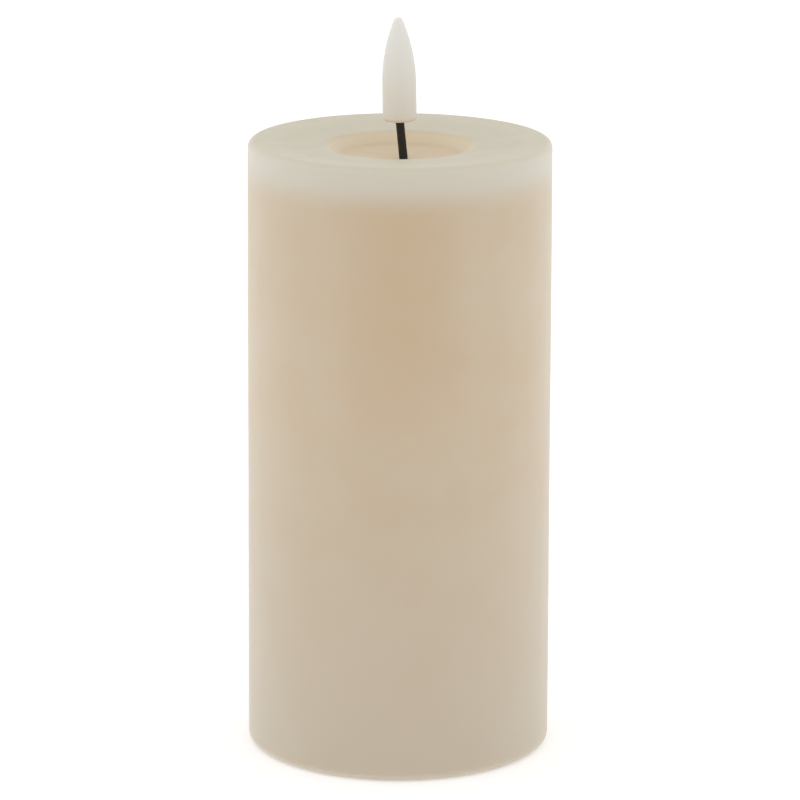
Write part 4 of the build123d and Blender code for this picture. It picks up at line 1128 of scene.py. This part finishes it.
@dataclass
class BatteryBay:
    """The tray, the two cells, and the plates and springs that touch them."""

    sleeve: str = "3D4F5C"

    def build(self) -> None:
        """Finish the bay's CAD nodes."""
        dress(["battery_tray"], TRAY_ABS)
        for node, pole_side in (("cell_front", 1), ("cell_rear", -1)):
            low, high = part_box(node)
            finish = CellSleeve("steel_can_sleeved_" + node, self.sleeve, roughness=0.3,
                                low_x=low.x, high_x=high.x, pole_side=pole_side)
            dress([node], finish)
        dress(["positive_contact", "negative_plate", "negative_spring", "bridge_plate",
               "bridge_spring"], NICKEL_STEEL)


@dataclass
class Electronics:
    """The control board with its parts, and the wires."""

    def build(self) -> None:
        """Finish the electronics' CAD nodes."""
        dress(["control_board"], GREEN_BOARD)
        dress(["board_screws"], ZINC_STEEL)
        dress(["controller_chip", "board_resistors"], CHIP_EPOXY)
        dress(["smoothing_capacitor"], CAPACITOR_SLEEVE)
        dress(["timing_crystal"], NICKEL_STEEL)
        dress(["battery_lead_red", "led_lead_red"], RED_PVC)
        dress(["battery_lead_black", "led_lead_black"], BLACK_PVC)
        dress(["switch_leads"], WHITE_PVC)


@dataclass
class SlideSwitch:
    """The three-place slide switch and its knob."""

    def build(self) -> None:
        """Finish the switch's CAD nodes."""
        dress(["switch_can", "switch_terminals"], NICKEL_STEEL)
        dress(["switch_wafer"], PAPER_WAFER)
        dress(["switch_slider"], KNOB_ACETAL)
        dress(["switch_wiper"], BRONZE)
        dress(["switch_screws"], ZINC_STEEL)


# ------------------------------------------------------------------ studio
@dataclass(frozen=True)
class StudioPaper(Finish):
    """Matt white paper on a light table, clear from below so that the underside can be seen."""

    fibre_mm: float = 6.0
    glow: float = 0.3

    def detail(self, tree: Tree, shader: Node, place: Socket) -> None:
        """A barely visible cloudiness, an even glow, and a back that lets light through.

        Args:
            tree: the material's node tree.
            shader: its principled shader.
            place: socket that gives a point's place on the object, in metres.
        """
        fibre = add_node(tree, "ShaderNodeTexNoise", {
            "Vector": place, "Scale": per_metre(self.fibre_mm),
        })
        shade = spread(tree, fibre.outputs["Fac"], (0.0, 1.0), (0.0, 0.03))
        blend = blended(tree, shade, linear(self.colour), (0.75, 0.75, 0.75, 1.0))
        tree.links.new(blend, shader.inputs["Base Color"])
        shader.inputs["Emission Color"].default_value = linear(self.colour)
        shader.inputs["Emission Strength"].default_value = self.glow
        clear = add_node(tree, "ShaderNodeBsdfTransparent")
        back = add_node(tree, "ShaderNodeNewGeometry").outputs["Backfacing"]
        sheet = add_node(tree, "ShaderNodeMixShader", {
            0: back, 1: shader.outputs[0], 2: clear.outputs[0],
        })
        tree.links.new(sheet.outputs[0], tree.nodes["Material Output"].inputs["Surface"])


@dataclass(frozen=True)
class Softbox:
    """One square soft light, aimed at the candle."""

    name: str
    place: tuple[float, float, float]
    size: tuple[float, float]
    watts: float

    def build(self, target: Vector) -> None:
        """Make the light.

        Args:
            target: the point that it faces.
        """
        lamp = bpy.data.lights.new(self.name, "AREA")
        lamp.shape = "RECTANGLE"
        lamp.size, lamp.size_y = self.size
        lamp.energy = self.watts
        made = bpy.data.objects.new(self.name, lamp)
        made.location = self.place
        away = Vector(self.place) - target
        made.rotation_euler = away.to_track_quat("Z", "Y").to_euler()
        bpy.context.scene.collection.objects.link(made)


@dataclass
class Studio:
    """White floor, soft lights from the sides and above, and the camera."""

    floor_size: float = 9.0
    world_strength: float = 0.85
    camera_place: tuple[float, float, float] = (0.0, -1.02497, 0.34427)
    camera_target: tuple[float, float, float] = (0.0, 0.0, 0.0885)
    lens: float = 195.3
    shift: tuple[float, float] = (0.0009, -0.015)
    roll_degrees: float = 0.19
    lights: tuple[Softbox, ...] = (
        Softbox("softbox_left", (-1.0, 0.15, 0.45), (0.7, 1.1), 0.28),
        Softbox("softbox_right", (1.0, 0.15, 0.45), (0.7, 1.1), 0.05),
        Softbox("softbox_top", (0.0, 0.2, 1.6), (1.6, 1.6), 1.2),
    )

    def floor(self) -> None:
        """Make the floor."""
        mesh = bmesh.new()
        bmesh.ops.create_grid(mesh, x_segments=4, y_segments=4, size=self.floor_size / 2)
        plane = finished_mesh("studio_floor", mesh)
        plane.data.materials.append(StudioPaper("paper_white_matt", "FAFAFA",
                                                roughness=0.9).material())

    def world(self) -> None:
        """Make the even light from all round."""
        world = bpy.data.worlds.new("studio")
        world.use_nodes = True
        tree = world.node_tree
        tree.nodes.clear()
        sky = add_node(tree, "ShaderNodeBackground", {
            "Color": (1.0, 1.0, 1.0, 1.0), "Strength": self.world_strength,
        })
        add_node(tree, "ShaderNodeOutputWorld", {"Surface": sky.outputs[0]})
        bpy.context.scene.world = world

    def camera(self) -> None:
        """Make the camera."""
        lens = bpy.data.cameras.new("camera")
        lens.lens = self.lens
        lens.shift_x, lens.shift_y = self.shift
        made = bpy.data.objects.new("camera", lens)
        made.location = self.camera_place
        look = Vector(self.camera_target) - Vector(self.camera_place)
        aim = look.to_track_quat("-Z", "Y")
        made.rotation_mode = "QUATERNION"
        made.rotation_quaternion = aim @ Quaternion((0, 0, 1), math.radians(self.roll_degrees))
        bpy.context.scene.collection.objects.link(made)
        bpy.context.scene.camera = made

    def build(self) -> None:
        """Make the floor, the lights and the camera, with plain colour rendering."""
        self.floor()
        self.world()
        target = Vector(self.camera_target)
        for light in self.lights:
            light.build(target)
        self.camera()
        bpy.context.scene.view_settings.view_transform = "Standard"


def main() -> None:
    """Build every sub-assembly in order, then the studio."""
    logging.basicConfig(level=logging.INFO, format="%(name)s: %(message)s")
    parts = (WaxPillar(), Wick(), Flame(), Core(), Base(), BatteryBay(), Electronics(),
             SlideSwitch(), Studio())
    for part in parts:
        LOG.info("building %s", type(part).__name__)
        part.build()


if __name__ == "__main__":
    main()
